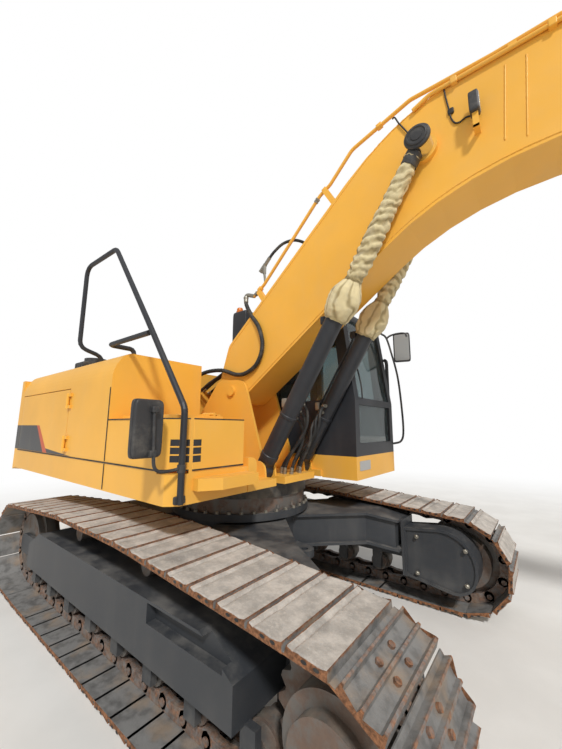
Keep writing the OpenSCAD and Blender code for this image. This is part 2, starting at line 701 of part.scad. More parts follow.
// Low box on the right with its chamfered front corner, a hatch in its top, and the hatch's lid
lid_t = 25;
box_in_y = 745;
hatch_x = [-40, 540];
hatch_y = [-1240, -830];
hatch_edge = 30;
box_wall = 40;
lid_hinge_x = [60, 440];
module box_corner_cut() translate([low_box_x, -side_y, deck_z - 40]) rotate([0, 0, -45]) translate([-300, -110, 0]) cube([600, 200, 500]);
module right_low_box() color(yellow) {
    difference() {
        block([rear_body_x + 0.3, -side_y, deck_z - 20], [low_box_x, -box_in_y, low_box_z]);
        block(
            [rear_body_x + box_wall, -side_y + box_wall, deck_z + box_wall],
            [low_box_x - 100, -box_in_y - box_wall, low_box_z - box_wall]
        );
        block([hatch_x[0], hatch_y[0], low_box_z - box_wall - 1], [hatch_x[1], hatch_y[1], low_box_z + 1]);
        box_corner_cut();
    }
    for (x = lid_hinge_x) translate([x, lid_axis_y, low_box_z + lid_t]) rotate([-90, 0, 90]) hinge_fixed(lid_t + bite);
}
lid_axis_y = hatch_y[1] + hatch_edge + 2;
module box_lid() color(yellow) {
    block(
        [hatch_x[0] - hatch_edge, hatch_y[0] - hatch_edge, low_box_z + 0.3],
        [hatch_x[1] + hatch_edge, lid_axis_y - 2, low_box_z + lid_t]
    );
    for (x = lid_hinge_x) translate([x, lid_axis_y, low_box_z + lid_t]) rotate([-90, 0, 90]) hinge_moving();
}

// Engine hood between the side bodies
hood_w = 2 * (side_y - side_body_w) - 12;
hood_x0 = weight_x + 20;
hood_low_z = roof_z - 120;
module hood() color(yellow) {
    difference() {
        block([hood_x0, -hood_w / 2, hood_low_z], [hood_x1 - 2, hood_w / 2, roof_z + 30]);
        block([hood_x0 + sheet_t, -hood_w / 2 + sheet_t, hood_low_z - 1], [hood_x1 - sheet_t, hood_w / 2 - sheet_t, roof_z]);
    }
    for (y = [-400, 320]) translate([hood_x1, y, roof_z + 30]) rotate([-90, 0, 0]) hinge_moving();
}
module air_intake() color(rubber_black) translate([-1500, -side_y + 420, roof_z]) {
    cylinder(r = 60, h = 60);
    translate([0, 0, 60 - bite]) cylinder(r = 120, h = 110);
}
module exhaust() color(rubber_black) translate([-1900, side_y - 420, roof_z]) cylinder(r = 55, h = 260);

// Cab: base rail, shell with its window openings, door, glass, seat and controls
cab_back_x = cab_front_x - cab_len;
cab_shell_z = skirt_z - 9 + cab_base_h;
module cab_base() color(yellow) difference() {
    block([cab_back_x, cab_in_y, skirt_z - 9], [cab_front_x, side_y, cab_shell_z]);
    block([cab_back_x - 1, cab_in_y - 1, skirt_z - 10], [deck_x1 + 1, side_y - skirt_t + bite + 1, skirt_z + 60.3]);
}
function cab_outline(t) = rounded([
    [cab_back_x + t, cab_shell_z + t, 0], [cab_front_x - t, cab_shell_z + t, 0],
    [cab_front_x - t, 1900, 0], [cab_front_x - 130 - t, cab_top_z - 140, 120], [cab_front_x - 260 - t, cab_top_z - t, 160],
    [cab_back_x + 60 + t, cab_top_z - t, 120]
]);
door_x = cab_front_x - 1010;
door_top_z = cab_top_z - 170;
door_low_z = cab_shell_z + 50;
sill_z = 1960;
module door_hole(y0, y1, g) slab(y0, y1) polygon(rounded([
    [door_x - g, door_low_z - g, 0], [door_x + door_len + g, door_low_z - g, 0], [door_x + door_len + g, 1900, 0],
    [door_x + door_len - 100 + g, door_top_z + g, 80], [door_x - g, door_top_z + g, 0]
]));
module cab_windows() {
    block([cab_front_x - 400, cab_in_y + 90, cab_shell_z + 120], [cab_front_x + 20, side_y - 90, 1850]);
    block([cab_front_x - 300, cab_in_y + 90, 1920], [cab_front_x + 20, side_y - 90, cab_top_z - 190]);
    slab(cab_in_y - 10, cab_in_y + cab_t + 10) polygon(rounded([
        [cab_back_x + 130, right_sill_z, 40], [cab_front_x - 130, right_sill_z, 40], [cab_front_x - 230, cab_top_z - 190, 60],
        [cab_back_x + 130, cab_top_z - 190, 40]
    ]));
    block([cab_back_x - 10, cab_in_y + 130, sill_z], [cab_back_x + cab_t + 10, side_y - 130, cab_top_z - 190]);
    block([cab_back_x + 100, side_y - cab_t - 10, sill_z], [door_x - 100, side_y + 10, cab_top_z - 190]);
}
module cab_shell() color(charcoal) {
    for (z = cab_hinge_z) translate([door_x - 2, side_y, z]) rotate([0, 0, 180]) hinge_fixed();
    cab_walls();
}
module cab_walls() difference() {
    slab(cab_in_y, side_y) polygon(cab_outline(0));
    slab(cab_in_y + cab_t, side_y - cab_t) polygon(cab_outline(cab_t));
    cab_windows();
    door_hole(side_y - cab_t - 10, side_y + 10, door_gap - 2);
}
module cab_door() color(charcoal) {
    difference() {
        door_hole(side_y - cab_t, side_y, 0);
        slab(side_y - cab_t - 10, side_y + 10) polygon(rounded([
            [door_x + 80, sill_z - 60, 40], [door_x + door_len - 80, sill_z - 60, 40],
            [door_x + door_len - 160, door_top_z - 80, 60], [door_x + 80, door_top_z - 80, 40]
        ]));
    }
    for (z = cab_hinge_z) translate([door_x - 2, side_y, z]) rotate([0, 0, 180]) hinge_moving();
}
cab_hinge_z = [door_low_z + 100, door_top_z - 250];
// Door pane
module door_glass() color(glass_tint) slab(side_y - cab_t / 2 - 3, side_y - cab_t / 2 + 3) polygon(rounded([
    [door_x + 80 + pane_gap, sill_z - 60 + pane_gap, 40], [door_x + door_len - 80 - pane_gap, sill_z - 60 + pane_gap, 40],
    [door_x + door_len - 160 - pane_gap, door_top_z - 80 - pane_gap, 60], [door_x + 80 + pane_gap, door_top_z - 80 - pane_gap, 40]
]));
// Panes stand in the middle of their openings
module cab_glass() color(glass_tint) intersection() {
    difference() {
        slab(cab_in_y + 25, side_y - 25) polygon(cab_outline(25));
        slab(cab_in_y + 31, side_y - 31) polygon(cab_outline(31));
    }
    cab_windows_inner();
}
pane_gap = 0.3;
module cab_windows_inner() {
    g = pane_gap;
    block([cab_front_x - 200, cab_in_y + 90 + g, cab_shell_z + 120 + g], [cab_front_x + 20, side_y - 90 - g, 1850 - g]);
    block([cab_front_x - 200, cab_in_y + 90 + g, 1920 + g], [cab_front_x + 20, side_y - 90 - g, cab_top_z - 190 - g]);
    slab(cab_in_y - 10, cab_in_y + cab_t - 10) polygon(rounded([
        [cab_back_x + 130 + g, right_sill_z + g, 40], [cab_front_x - 130 - g, right_sill_z + g, 40],
        [cab_front_x - 230 - g, cab_top_z - 190 - g, 60], [cab_back_x + 130 + g, cab_top_z - 190 - g, 40]
    ]));
    block([cab_back_x - 10, cab_in_y + 130 + g, sill_z + g], [cab_back_x + cab_t, side_y - 130 - g, cab_top_z - 190 - g]);
    block([cab_back_x + 100 + g, side_y - cab_t, sill_z + g], [door_x - 100 - g, side_y + 10, cab_top_z - 190 - g]);
}
seat_x = 150;
seat_y = (cab_in_y + side_y) / 2;
floor_z = cab_shell_z + cab_t;
module seat() color(seat_grey) translate([seat_x, seat_y, floor_z]) {
    block([-180, -180, 0], [180, 180, 220]);
    block([-260, -250, 220], [270, 250, 350]);
    slab(-240, 240) polygon(rounded([[-260, 350, 0], [-120, 350, 0], [-200, 1050, 40], [-320, 1050, 40]]));
}
module controls() color(charcoal) translate([seat_x, seat_y, floor_z]) {
    for (side = [-1, 1]) {
        block([-150, side * 330 - 60, 0], [300, side * 330 + 60, 480]);
        translate([230, side * 330, 480 - bite]) cylinder(r = 18, h = 190);
        translate([560, side * 90, 0]) cylinder(r = 14, h = 520);
        block([480, side * 90 - 60, 0], [700, side * 90 + 60, 40]);
    }
}

// Tall handrail on the right front, from the low skirt up and back to the roof
rail_y = -side_y + 60;
rail_r = rail_d / 2;
rail_bend = 90;
rail_x = low_box_x + rail_r + seat_gap;
grab_x = cab_front_x - 60;
grab_y = side_y + 60;
module handrails() color(charcoal) {
    tube([
        [rail_x, rail_y, skirt_z + 15], [rail_x, rail_y, 1740], [277, rail_y, 2376], [-393, rail_y, 3228],
        [-1021, rail_y, 3239], [-1021, rail_y, 2400], [-1000, rail_y + 220, 2330], [-1000, rail_y + 220, roof_z + seat_gap]
    ], rail_r, rail_bend);
    tube([
        [277, rail_y, 2316], [-358, rail_y, 2318], [-358, rail_y + 220, 2318], [-358, rail_y + 220, roof_z + seat_gap]
    ], rail_r, 40);
    tube([
        [grab_x, side_y + 0.3, 1480], [grab_x, grab_y, 1480], [grab_x, grab_y, 2440], [grab_x, side_y + 0.3, 2440]
    ], rail_r, 40);
}
// Mirrors on their arms
mirror_in = rail_r - rail_y + mirror_stand;
mirror_out = mirror_in + mirror_w;
mirror_arm_r = 12;
module mirrors() color(rubber_black) {
    strut([rail_x, rail_y - rail_r - seat_gap, 1620], [rail_x, -mirror_in - 10, 1620], mirror_arm_r);
    block([rail_x - 30, -mirror_out, 1440], [rail_x + 30, -mirror_in, 1440 + mirror_h]);
    strut([grab_x + rail_r + 10, grab_y, 2300], [1235, mirror_in + 10, 2500], mirror_arm_r);
    block([1205, mirror_in, 2420], [1265, mirror_out, 2420 + mirror_h]);
}
module beacon() color([0.95, 0.45, 0.05]) translate([cab_back_x + 180, cab_in_y + 200, cab_top_z + 0]) {
    cylinder(r = 75, h = 40);
    translate([0, 0, 40 - bite]) cylinder(r = 60, h = 130);
}

// Boom: bent box with foot, ram bosses, arm ram lugs and a forked tip
ear_in = arm_w / 2 + move_gap;
fork_len = 470;
boom_side = [
    [foot.x - 100, foot.y - 130, 100], [foot.x + 60, foot.y - 125, 100], [2163, 3339, 1800],
    [tip.x - 300, 3300, 400], [tip.x + 90, tip.y - 150, 110], [tip.x + 150, tip.y + 110, 120],
    [tip.x - 260, tip.y + 200, 200], [2900, 4120, 900], [1852, 4125, 1670], [-40, 2480, 120],
    [foot.x - 215, foot.y + 150, 150]
];
eye_boss_r = 105;
module boom() color(yellow) difference() {
    union() {
        slab(-boom_w / 2, boom_w / 2) polygon(rounded(boom_side));
        both_sides() bar_y(eye_boss_r, boom_w / 2 - bite, boom_ram_y - ram_eye_w / 2 - face_gap, boom_ram_eye);
        both_sides() slab(arm_eye_w / 2 + face_gap, arm_eye_w / 2 + face_gap + 30) polygon(rounded([
            [arm_ram_foot.x - 200, arm_ram_foot.y - 230, 0], [arm_ram_foot.x + 220, arm_ram_foot.y - 230, 0],
            [arm_ram_foot.x + 90, arm_ram_foot.y + 95, 90], [arm_ram_foot.x - 90, arm_ram_foot.y + 95, 90]
        ]));
        bar_y(ram_pin_r, -arm_eye_w / 2 - 31, arm_eye_w / 2 + 31, arm_ram_foot);
        both_sides() for (p = pipe_feet) pipe_foot(p);
    }
    bar_y(boom_pin_r + pin_gap, -boom_w, boom_w, foot);
    slab(-ear_in, ear_in) polygon(rounded([
        [tip.x - fork_len, tip.y - 400, 0], [tip.x + 400, tip.y - 400, 0],
        [tip.x + 400, tip.y + 400, 0], [tip.x - fork_len, tip.y + 400, 0]
    ]));
    bar_y(boom_pin_r + pin_gap, -boom_w, boom_w, tip);
}
arm_eye_w = 110;

// Steel pipes along the boom's top
pipe_r = 16;
pipe_side_y = 150;
pipe_run = [
    [263, 2973], [401, 3068], [1085, 3762], [1193, 3822], [1420, 4055], [1931, 4212], [2486, 4185], [2853, 4189], [4700, 3800]
];
// Feet under the pipes. Columns: x, z of the pipe there, slope in degrees and reach down into the boom
pipe_feet = [[332, 3020, 34.6, 185], [1139, 3792, 29, 230], [2600, 4186, 0, 110], [3700, 4011, -12, 110], [4500, 3842, -12, 110]];
foot_w = 50;
module boom_pipes() color(yellow) both_sides() tube([for (p = pipe_run) [p.x, pipe_side_y, p.y]], pipe_r, 120);
module pipe_foot(p) translate([p[0], pipe_side_y, p[1]]) rotate([0, -p[2], 0])
    block([-foot_w / 2, -foot_w / 2, -p[3]], [foot_w / 2, foot_w / 2, -pipe_r - pin_gap]);
// Work lamp on a bracket on the boom's right side
module boom_lamp() color(rubber_black) translate([2370, -boom_w / 2 - seat_gap, 3590]) {
    block([-20, -70, 0], [20, 0, 12]);
    block([-20, -70, 0], [20, -62, 115]);
    block([-35, -110, 108], [35, -30, 260]);
}

// A ram lies along +X from its foot pin: an eye, a neck that clears the lugs, and the barrel, bored for the rod
neck_h = 104;
bore_start = 15;
module ram_barrel(length, outer_d, rod_d, eye_w, eye_r, neck) difference() {
    union() {
        bar_y(eye_r, -eye_w / 2, eye_w / 2, [0, 0]);
        block([0, -eye_w / 2, -neck_h / 2], [neck + bite, eye_w / 2, neck_h / 2]);
        translate([neck, 0, 0]) rotate([0, 90, 0]) cylinder(d = outer_d, h = length - neck);
    }
    bar_y(ram_pin_r + pin_gap, -eye_w, eye_w, [0, 0]);
    translate([neck + bore_start, 0, 0]) rotate([0, 90, 0]) cylinder(r = rod_d / 2 + rod_gap, h = length);
}
module ram_rod(inner, outer, rod_d, eye_w, eye_r) {
    translate([inner, 0, 0]) rotate([0, 90, 0]) cylinder(d = rod_d, h = outer - inner - eye_r + 20);
    bar_y(eye_r, -eye_w / 2, eye_w / 2, [outer, 0]);
}
module on_ram(p, tilt, y) translate([p.x, y, p.y]) rotate([0, -tilt, 0]) children();
ram_eye_r = 80;
boom_ram_neck = 110;
arm_ram_neck = 178;
bucket_ram_neck = 200;
boom_rod_len = 1770;
module boom_barrels() color(charcoal) both_sides() on_ram(boom_ram_foot, boom_ram_tilt, boom_ram_y)
    ram_barrel(boom_ram_len, boom_ram_d, boom_rod_d, ram_eye_w, ram_eye_r, boom_ram_neck);
module boom_rods() color(steel) both_sides() on_ram(boom_ram_foot, boom_ram_tilt, boom_ram_y)
    ram_rod(boom_ram_rest - boom_rod_len, boom_ram_rest, boom_rod_d, ram_eye_w, ram_eye_r);
wrap_t = 22;
module rod_wraps() color(cloth_tan) both_sides() on_ram(boom_ram_foot, boom_ram_tilt, boom_ram_y)
    rotate([0, 90, 0]) rotate_extrude() polygon([
        [boom_rod_d / 2 + rod_gap, boom_ram_len + seat_gap], [boom_ram_d / 2 + 8, boom_ram_len + seat_gap],
        [100, boom_ram_len + 70], [104, boom_ram_len + 110], [98, boom_ram_len + 155], [70, boom_ram_len + 215],
        [boom_rod_d / 2 + wrap_t, boom_ram_len + 260],
        [boom_rod_d / 2 + wrap_t, boom_ram_rest - 130], [boom_rod_d / 2 + rod_gap, boom_ram_rest - 110]
    ]);
arm_rod_len = 1720;
module arm_barrel() color(charcoal) on_ram(arm_ram_foot, arm_ram_tilt, 0)
    ram_barrel(arm_ram_len, arm_ram_d, arm_rod_d, arm_eye_w, ram_eye_r, arm_ram_neck);
module arm_rod() color(steel) on_ram(arm_ram_foot, arm_ram_tilt, 0)
    ram_rod(arm_ram_rest - arm_rod_len, arm_ram_rest, arm_rod_d, arm_eye_w, ram_eye_r);
bucket_rod_len = 1480;
module bucket_barrel() color(charcoal) on_ram(bucket_ram_foot, bucket_ram_tilt, 0)
    ram_barrel(bucket_ram_len, bucket_ram_d, bucket_rod_d, arm_eye_w, ram_eye_r, bucket_ram_neck);
module bucket_rod() color(steel) on_ram(bucket_ram_foot, bucket_ram_tilt, 0)
    ram_rod(bucket_ram_rest - bucket_rod_len, bucket_ram_rest, bucket_rod_d, arm_eye_w, ram_eye_r);

// Arm: long box, drawn from its pivot with X to the bucket pin and Y to the outer side
module along_arm() translate([tip.x, 0, tip.y]) rotate([0, -arm_tilt, 0]) children();
arm_side = [
    [-arm_tail - 130, arm_tail_rise + 20, 90], [-arm_tail + 20, arm_tail_rise - 140, 100], [-150, -150, 120],
    [180, -150, 200], [arm_len - 70, -112, 60], [arm_len + 92, -60, 60], [arm_len + 92, 60, 60], [arm_len - 70, 112, 60],
    [500, 420, 300], [0, 460, 300], [-arm_tail + 40, arm_tail_rise + 115, 100]
];
module arm() color(yellow) along_arm() difference() {
    union() {
        slab(-arm_w / 2, arm_w / 2) polygon(rounded(arm_side));
        both_sides() slab(arm_eye_w / 2 + face_gap, arm_eye_w / 2 + face_gap + 28) polygon(rounded([
            [120, 380, 0], [620, 360, 0], [415, 680, 90], [245, 680, 90]
        ]));
        bar_y(ram_pin_r, -arm_eye_w / 2 - 29, arm_eye_w / 2 + 29, [330, 590]);
        bar_y(boom_pin_r, -boom_w / 2 - 12, boom_w / 2 + 12, [0, 0]);
    }
    slab(-arm_eye_w / 2 - face_gap, arm_eye_w / 2 + face_gap) polygon([
        [-arm_tail - 400, arm_tail_rise - 330], [-arm_tail + 330, arm_tail_rise - 330],
        [-arm_tail + 330, arm_tail_rise + 300], [-arm_tail - 400, arm_tail_rise + 300]
    ]);
    bar_y(bucket_pin_r + pin_gap, -arm_w, arm_w, [arm_len, 0]);
    bar_y(ram_pin_r + pin_gap, -arm_w, arm_w, [arm_len - rocker_back, rocker_rise]);
}

// Bucket linkage: rocker plates outside the arm, link inside them
rocker_in = arm_w / 2 + 6;
rocker_t = 35;
rocker_r = 70;
link_r = 70;
link_tube_r = 58;
module plate_between(a, b, ra, y0, y1) hull() {
    bar_y(ra, y0, y1, a, $fn = 32);
    bar_y(ra, y0, y1, b, $fn = 32);
}
module rockers() color(yellow) {
    both_sides() plate_between(rocker_pin, ram_joint, rocker_r, rocker_in, rocker_in + rocker_t);
    bar_y(ram_pin_r, -rocker_in - 1, rocker_in + 1, rocker_pin);
}
link_in = arm_eye_w / 2 + face_gap;
link_out = rocker_in - face_gap;
web_share = 0.22;
module bucket_link() color(yellow) difference() {
    union() {
        both_sides() plate_between(ram_joint, link_pin, link_r, link_in, link_out);
        hull() {
            bar_y(link_tube_r, -link_in - 1, link_in + 1, link_pin + web_share * (ram_joint - link_pin), $fn = 32);
            bar_y(link_tube_r, -link_in - 1, link_in + 1, link_pin, $fn = 32);
        }
    }
    bar_y(bucket_pin_r + pin_gap, -arm_w, arm_w, link_pin);
}

// Bucket: drawn from its pin with X to the tip of its teeth and Y to its back
module along_bucket() translate([bucket_pin.x, 0, bucket_pin.y]) rotate([0, -bucket_tilt, 0]) children();
tooth_len = 190;
lip = [bucket_r - tooth_len * cos(floor_slope), tooth_len * sin(floor_slope)];
floor_len = 640;
knee = lip + floor_len * heading(180 - floor_slope);
// Upper plate of the bucket, seen from the side: its front edge, its bend under the pins and its bend to the back
top_front = [150, 110];
top_bend = [30, 260];
top_back = [20, 640];
heel = [240, 780];
bucket_outer = [
    [lip.x, lip.y, 0], [knee.x, knee.y, 300], [heel.x, heel.y, 240], [top_back.x, top_back.y, 120],
    [top_bend.x, top_bend.y, 60], [top_front.x, top_front.y, 0]
];
bucket_t = 28;
floor_dir = heading(-floor_slope);
lip_in = lip + bucket_t * heading(-floor_slope - 90);
top_edge = top_front + bucket_t * turned(unit(top_bend - top_front), -90);
mouth_cut = [
    lip_in + 100 * floor_dir, [lip.x + 60, -200], [top_edge.x, -200], top_edge, top_edge + [60, 70], lip_in - 80 * floor_dir + [0, -12]
];
module bucket_shell() difference() {
    slab(-bucket_w / 2, bucket_w / 2) polygon(rounded(bucket_outer));
    slab(-bucket_w / 2 + bucket_t, bucket_w / 2 - bucket_t) {
        offset(delta = -bucket_t) polygon(rounded(bucket_outer));
        polygon(mouth_cut);
    }
}
lug_in = arm_w / 2 + 8;
lug_w = 40;
link_at = bucket_pins * heading(link_lead);
lug_side = [
    [-75, -70, 70], [80, -70, 70], [161, 119, 0], [44, 265, 0], [36, 600, 0],
    [link_at.x - 80, link_at.y + 80, 78], [link_at.x - 80, link_at.y - 80, 78]
];
module bucket() color(rust) along_bucket() {
    bucket_shell();
    both_sides() slab(lug_in, lug_in + lug_w) polygon(rounded(lug_side));
    for (p = [[0, 0], link_at]) bar_y(bucket_pin_r, -lug_in - lug_w - 1, lug_in + lug_w + 1, p);
}
tooth_w = 90;
tooth_inset = 60;
module bucket_teeth() color(steel) along_bucket() translate([lip.x, 0, lip.y]) rotate([0, floor_slope, 0])
    for (i = [0 : tooth_count - 1])
        translate([0, (bucket_w - 2 * tooth_inset) * (i / (tooth_count - 1) - 0.5), 0])
            slab(-tooth_w / 2, tooth_w / 2) polygon([[seat_gap, -46], [tooth_len, -20], [tooth_len, -8], [seat_gap, 8]]);

placed() car_body();
placed() swing_ring();
placed() track_frames();
placed() track_left();
placed() track_right();
placed() sprockets();
placed() idlers();
placed() rollers();
placed() drive_guards();
placed() deck_frame();
placed() counterweight();
placed() engine();
placed() right_body();
placed() left_body();
placed() right_low_box();
placed() box_lid();
placed() hood();
placed() right_door();
placed() left_door();
placed() air_intake();
placed() exhaust();
placed() cab_base();
placed() cab_shell();
placed() cab_door();
placed() cab_glass();
placed() door_glass();
placed() seat();
placed() controls();
placed() handrails();
placed() mirrors();
placed() beacon();
placed() boom();
placed() boom_pipes();
placed() boom_lamp();
placed() boom_barrels();
placed() boom_rods();
placed() rod_wraps();
placed() arm_barrel();
placed() arm_rod();
placed() arm();
placed() bucket_barrel();
placed() bucket_rod();
placed() rockers();
placed() bucket_link();
placed() bucket();
placed() bucket_teeth();
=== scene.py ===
"""Looks of the crawler excavator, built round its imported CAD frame.

Lengths are metres in the row frame: X forward, Y to the operator's left, Z up, the origin on the ground in
the middle of the standing length. Points of the side view are measured from the swing axis and shifted by
SHIFT.
"""

import json
import logging
import math
from dataclasses import dataclass, field
from enum import Enum

import bpy
import numpy as np
from mathutils import Matrix, Vector


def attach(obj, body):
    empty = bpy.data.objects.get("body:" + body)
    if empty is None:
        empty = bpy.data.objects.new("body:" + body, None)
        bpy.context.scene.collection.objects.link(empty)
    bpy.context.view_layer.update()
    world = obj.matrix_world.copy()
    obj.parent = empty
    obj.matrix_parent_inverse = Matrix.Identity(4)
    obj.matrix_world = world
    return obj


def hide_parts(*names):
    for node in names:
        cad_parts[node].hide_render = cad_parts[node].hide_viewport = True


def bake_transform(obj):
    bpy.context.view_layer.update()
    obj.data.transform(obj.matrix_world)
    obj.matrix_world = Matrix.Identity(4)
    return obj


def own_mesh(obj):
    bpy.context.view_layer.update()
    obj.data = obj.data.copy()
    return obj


LOG = logging.getLogger("excavator")
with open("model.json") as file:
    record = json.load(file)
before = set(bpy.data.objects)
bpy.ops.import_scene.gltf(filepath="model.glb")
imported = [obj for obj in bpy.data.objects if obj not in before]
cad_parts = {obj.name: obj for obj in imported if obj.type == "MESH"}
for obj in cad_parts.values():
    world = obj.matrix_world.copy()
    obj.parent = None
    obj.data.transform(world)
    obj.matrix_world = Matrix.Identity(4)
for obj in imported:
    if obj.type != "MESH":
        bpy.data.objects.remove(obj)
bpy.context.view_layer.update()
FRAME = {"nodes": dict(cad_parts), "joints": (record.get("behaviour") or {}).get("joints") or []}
SHIFT = next(j["pos_m"][0] for j in FRAME["joints"] if j["name"] == "swing")
SIDES = (-1.0, 1.0)
Socket = bpy.types.NodeSocket
Value = bpy.types.NodeSocket | float | tuple


# Shapes as whole arrays


def hash_noise(points: np.ndarray, seed: int) -> np.ndarray:
    """Gives smooth lattice noise in -1..1: hashed corner values, blended with a smooth step.

    Args:
        points: places, shape (..., 3), one lattice cell per unit.
        seed: number that picks the pattern.

    Returns:
        The noise at each place, shape (...).
    """
    cell = np.floor(points)
    part = points - cell
    part = part * part * (3 - 2 * part)
    total = np.zeros(points.shape[:-1])
    for corner in np.ndindex(2, 2, 2):
        at = cell + corner
        value = np.sin(at @ np.array([127.1, 311.7, 74.7]) + seed * 13.37) * 43758.5453
        value = 2 * (value - np.floor(value)) - 1
        total += value * np.prod(np.where(corner, part, 1 - part), axis=-1)
    return total


def lumps(points: np.ndarray, size: float, seed: int) -> np.ndarray:
    """Adds three octaves of hash_noise, each half the size and half the height of the last.

    Args:
        points: places in metres, shape (..., 3).
        size: width of the largest lumps.
        seed: number that picks the pattern.

    Returns:
        The sum, about -1..1.
    """
    return sum(hash_noise(points * (2**k) / size, seed + k) / 2**k for k in range(3)) / 1.6


def side_point(x: float, y: float, z: float) -> np.ndarray:
    """Turns a point measured from the swing axis, in metres, into one of the row frame."""
    return np.array([x + SHIFT, y, z])


def side_points(rows: tuple) -> np.ndarray:
    """Turns several such points into an array, shape (n, 3)."""
    return np.array([side_point(*row) for row in rows])


def side_name(side: float) -> str:
    """Names a side: +1 is the operator's left, -1 the right."""
    return "left" if side > 0 else "right"


def unit(v: np.ndarray) -> np.ndarray:
    """Scales vectors along the last axis to length one."""
    return v / np.linalg.norm(v, axis=-1, keepdims=True)


def smooth_path(points: np.ndarray, steps: int = 8) -> np.ndarray:
    """Runs a Catmull-Rom curve through points: each span is a cubic whose ends lean as their neighbours lie.

    Args:
        points: shape (n, 3).
        steps: places per span.

    Returns:
        The curve's places, shape (m, 3).
    """
    p = np.concatenate([[2 * points[0] - points[1]], points, [2 * points[-1] - points[-2]]])
    t = np.linspace(0, 1, steps, endpoint=False)[None, :, None]
    a, b, c, d = (p[k : len(p) - 3 + k, None] for k in range(4))
    span = 0.5 * (2 * b + (c - a) * t + (2 * a - 5 * b + 4 * c - d) * t**2 + (3 * b - a - 3 * c + d) * t**3)
    return np.concatenate([span.reshape(-1, 3), points[-1:]])


def evenly(line: np.ndarray, step: float, least: int) -> tuple[np.ndarray, np.ndarray]:
    """Spaces a line's points evenly: each coordinate is read off by the length gone along the line.

    Args:
        line: places, shape (n, 2) or (n, 3).
        step: about how far apart the new ones are.
        least: how many there are at least.

    Returns:
        Their distances from the start, and the places.
    """
    gone = np.concatenate([[0], np.cumsum(np.linalg.norm(np.diff(line, axis=0), axis=1))])
    even = np.linspace(0, gone[-1], max(least, int(gone[-1] / step)))
    return even, np.stack([np.interp(even, gone, column) for column in line.T], axis=1)


def grid_faces(nu: int, nv: int, wrap_u: bool = False, wrap_v: bool = False) -> np.ndarray:
    """Lists the quads of a grid of points, row after row.

    Args:
        nu: number of rows.
        nv: number of points in a row.
        wrap_u: joins the last row to the first.
        wrap_v: joins each row's last point to its first.

    Returns:
        Point indices, shape (faces, 4).
    """
    u = np.arange(nu if wrap_u else nu - 1)[:, None]
    v = np.arange(nv if wrap_v else nv - 1)[None, :]
    rows = [u * nv, (u + 1) % nu * nv, (u + 1) % nu * nv, u * nv]
    columns = [v, v, (v + 1) % nv, (v + 1) % nv]
    return np.stack([row + column for row, column in zip(rows, columns)], axis=-1).reshape(-1, 4)


class Body(Enum):
    """CAD bodies that new pieces ride on."""

    UNDERCARRIAGE = "undercarriage"
    HOUSE = "house"
    BOOM = "boom"
    BARRELS = "boom_barrels"
    RODS = "boom_rods"


class Slot(Enum):
    """Material slots of the record; each new piece's build is given one."""

    YELLOW = "yellow_paint"
    CHARCOAL = "charcoal_paint"
    CAB = "cab_paint"
    FRAME = "undercarriage_steel"
    TRACK = "track_steel"
    CHROME = "rod_chrome"
    PLASTIC = "black_plastic"
    GLASS = "glass"
    AMBER = "amber_lens"
    CLOTH = "wrap_cloth"


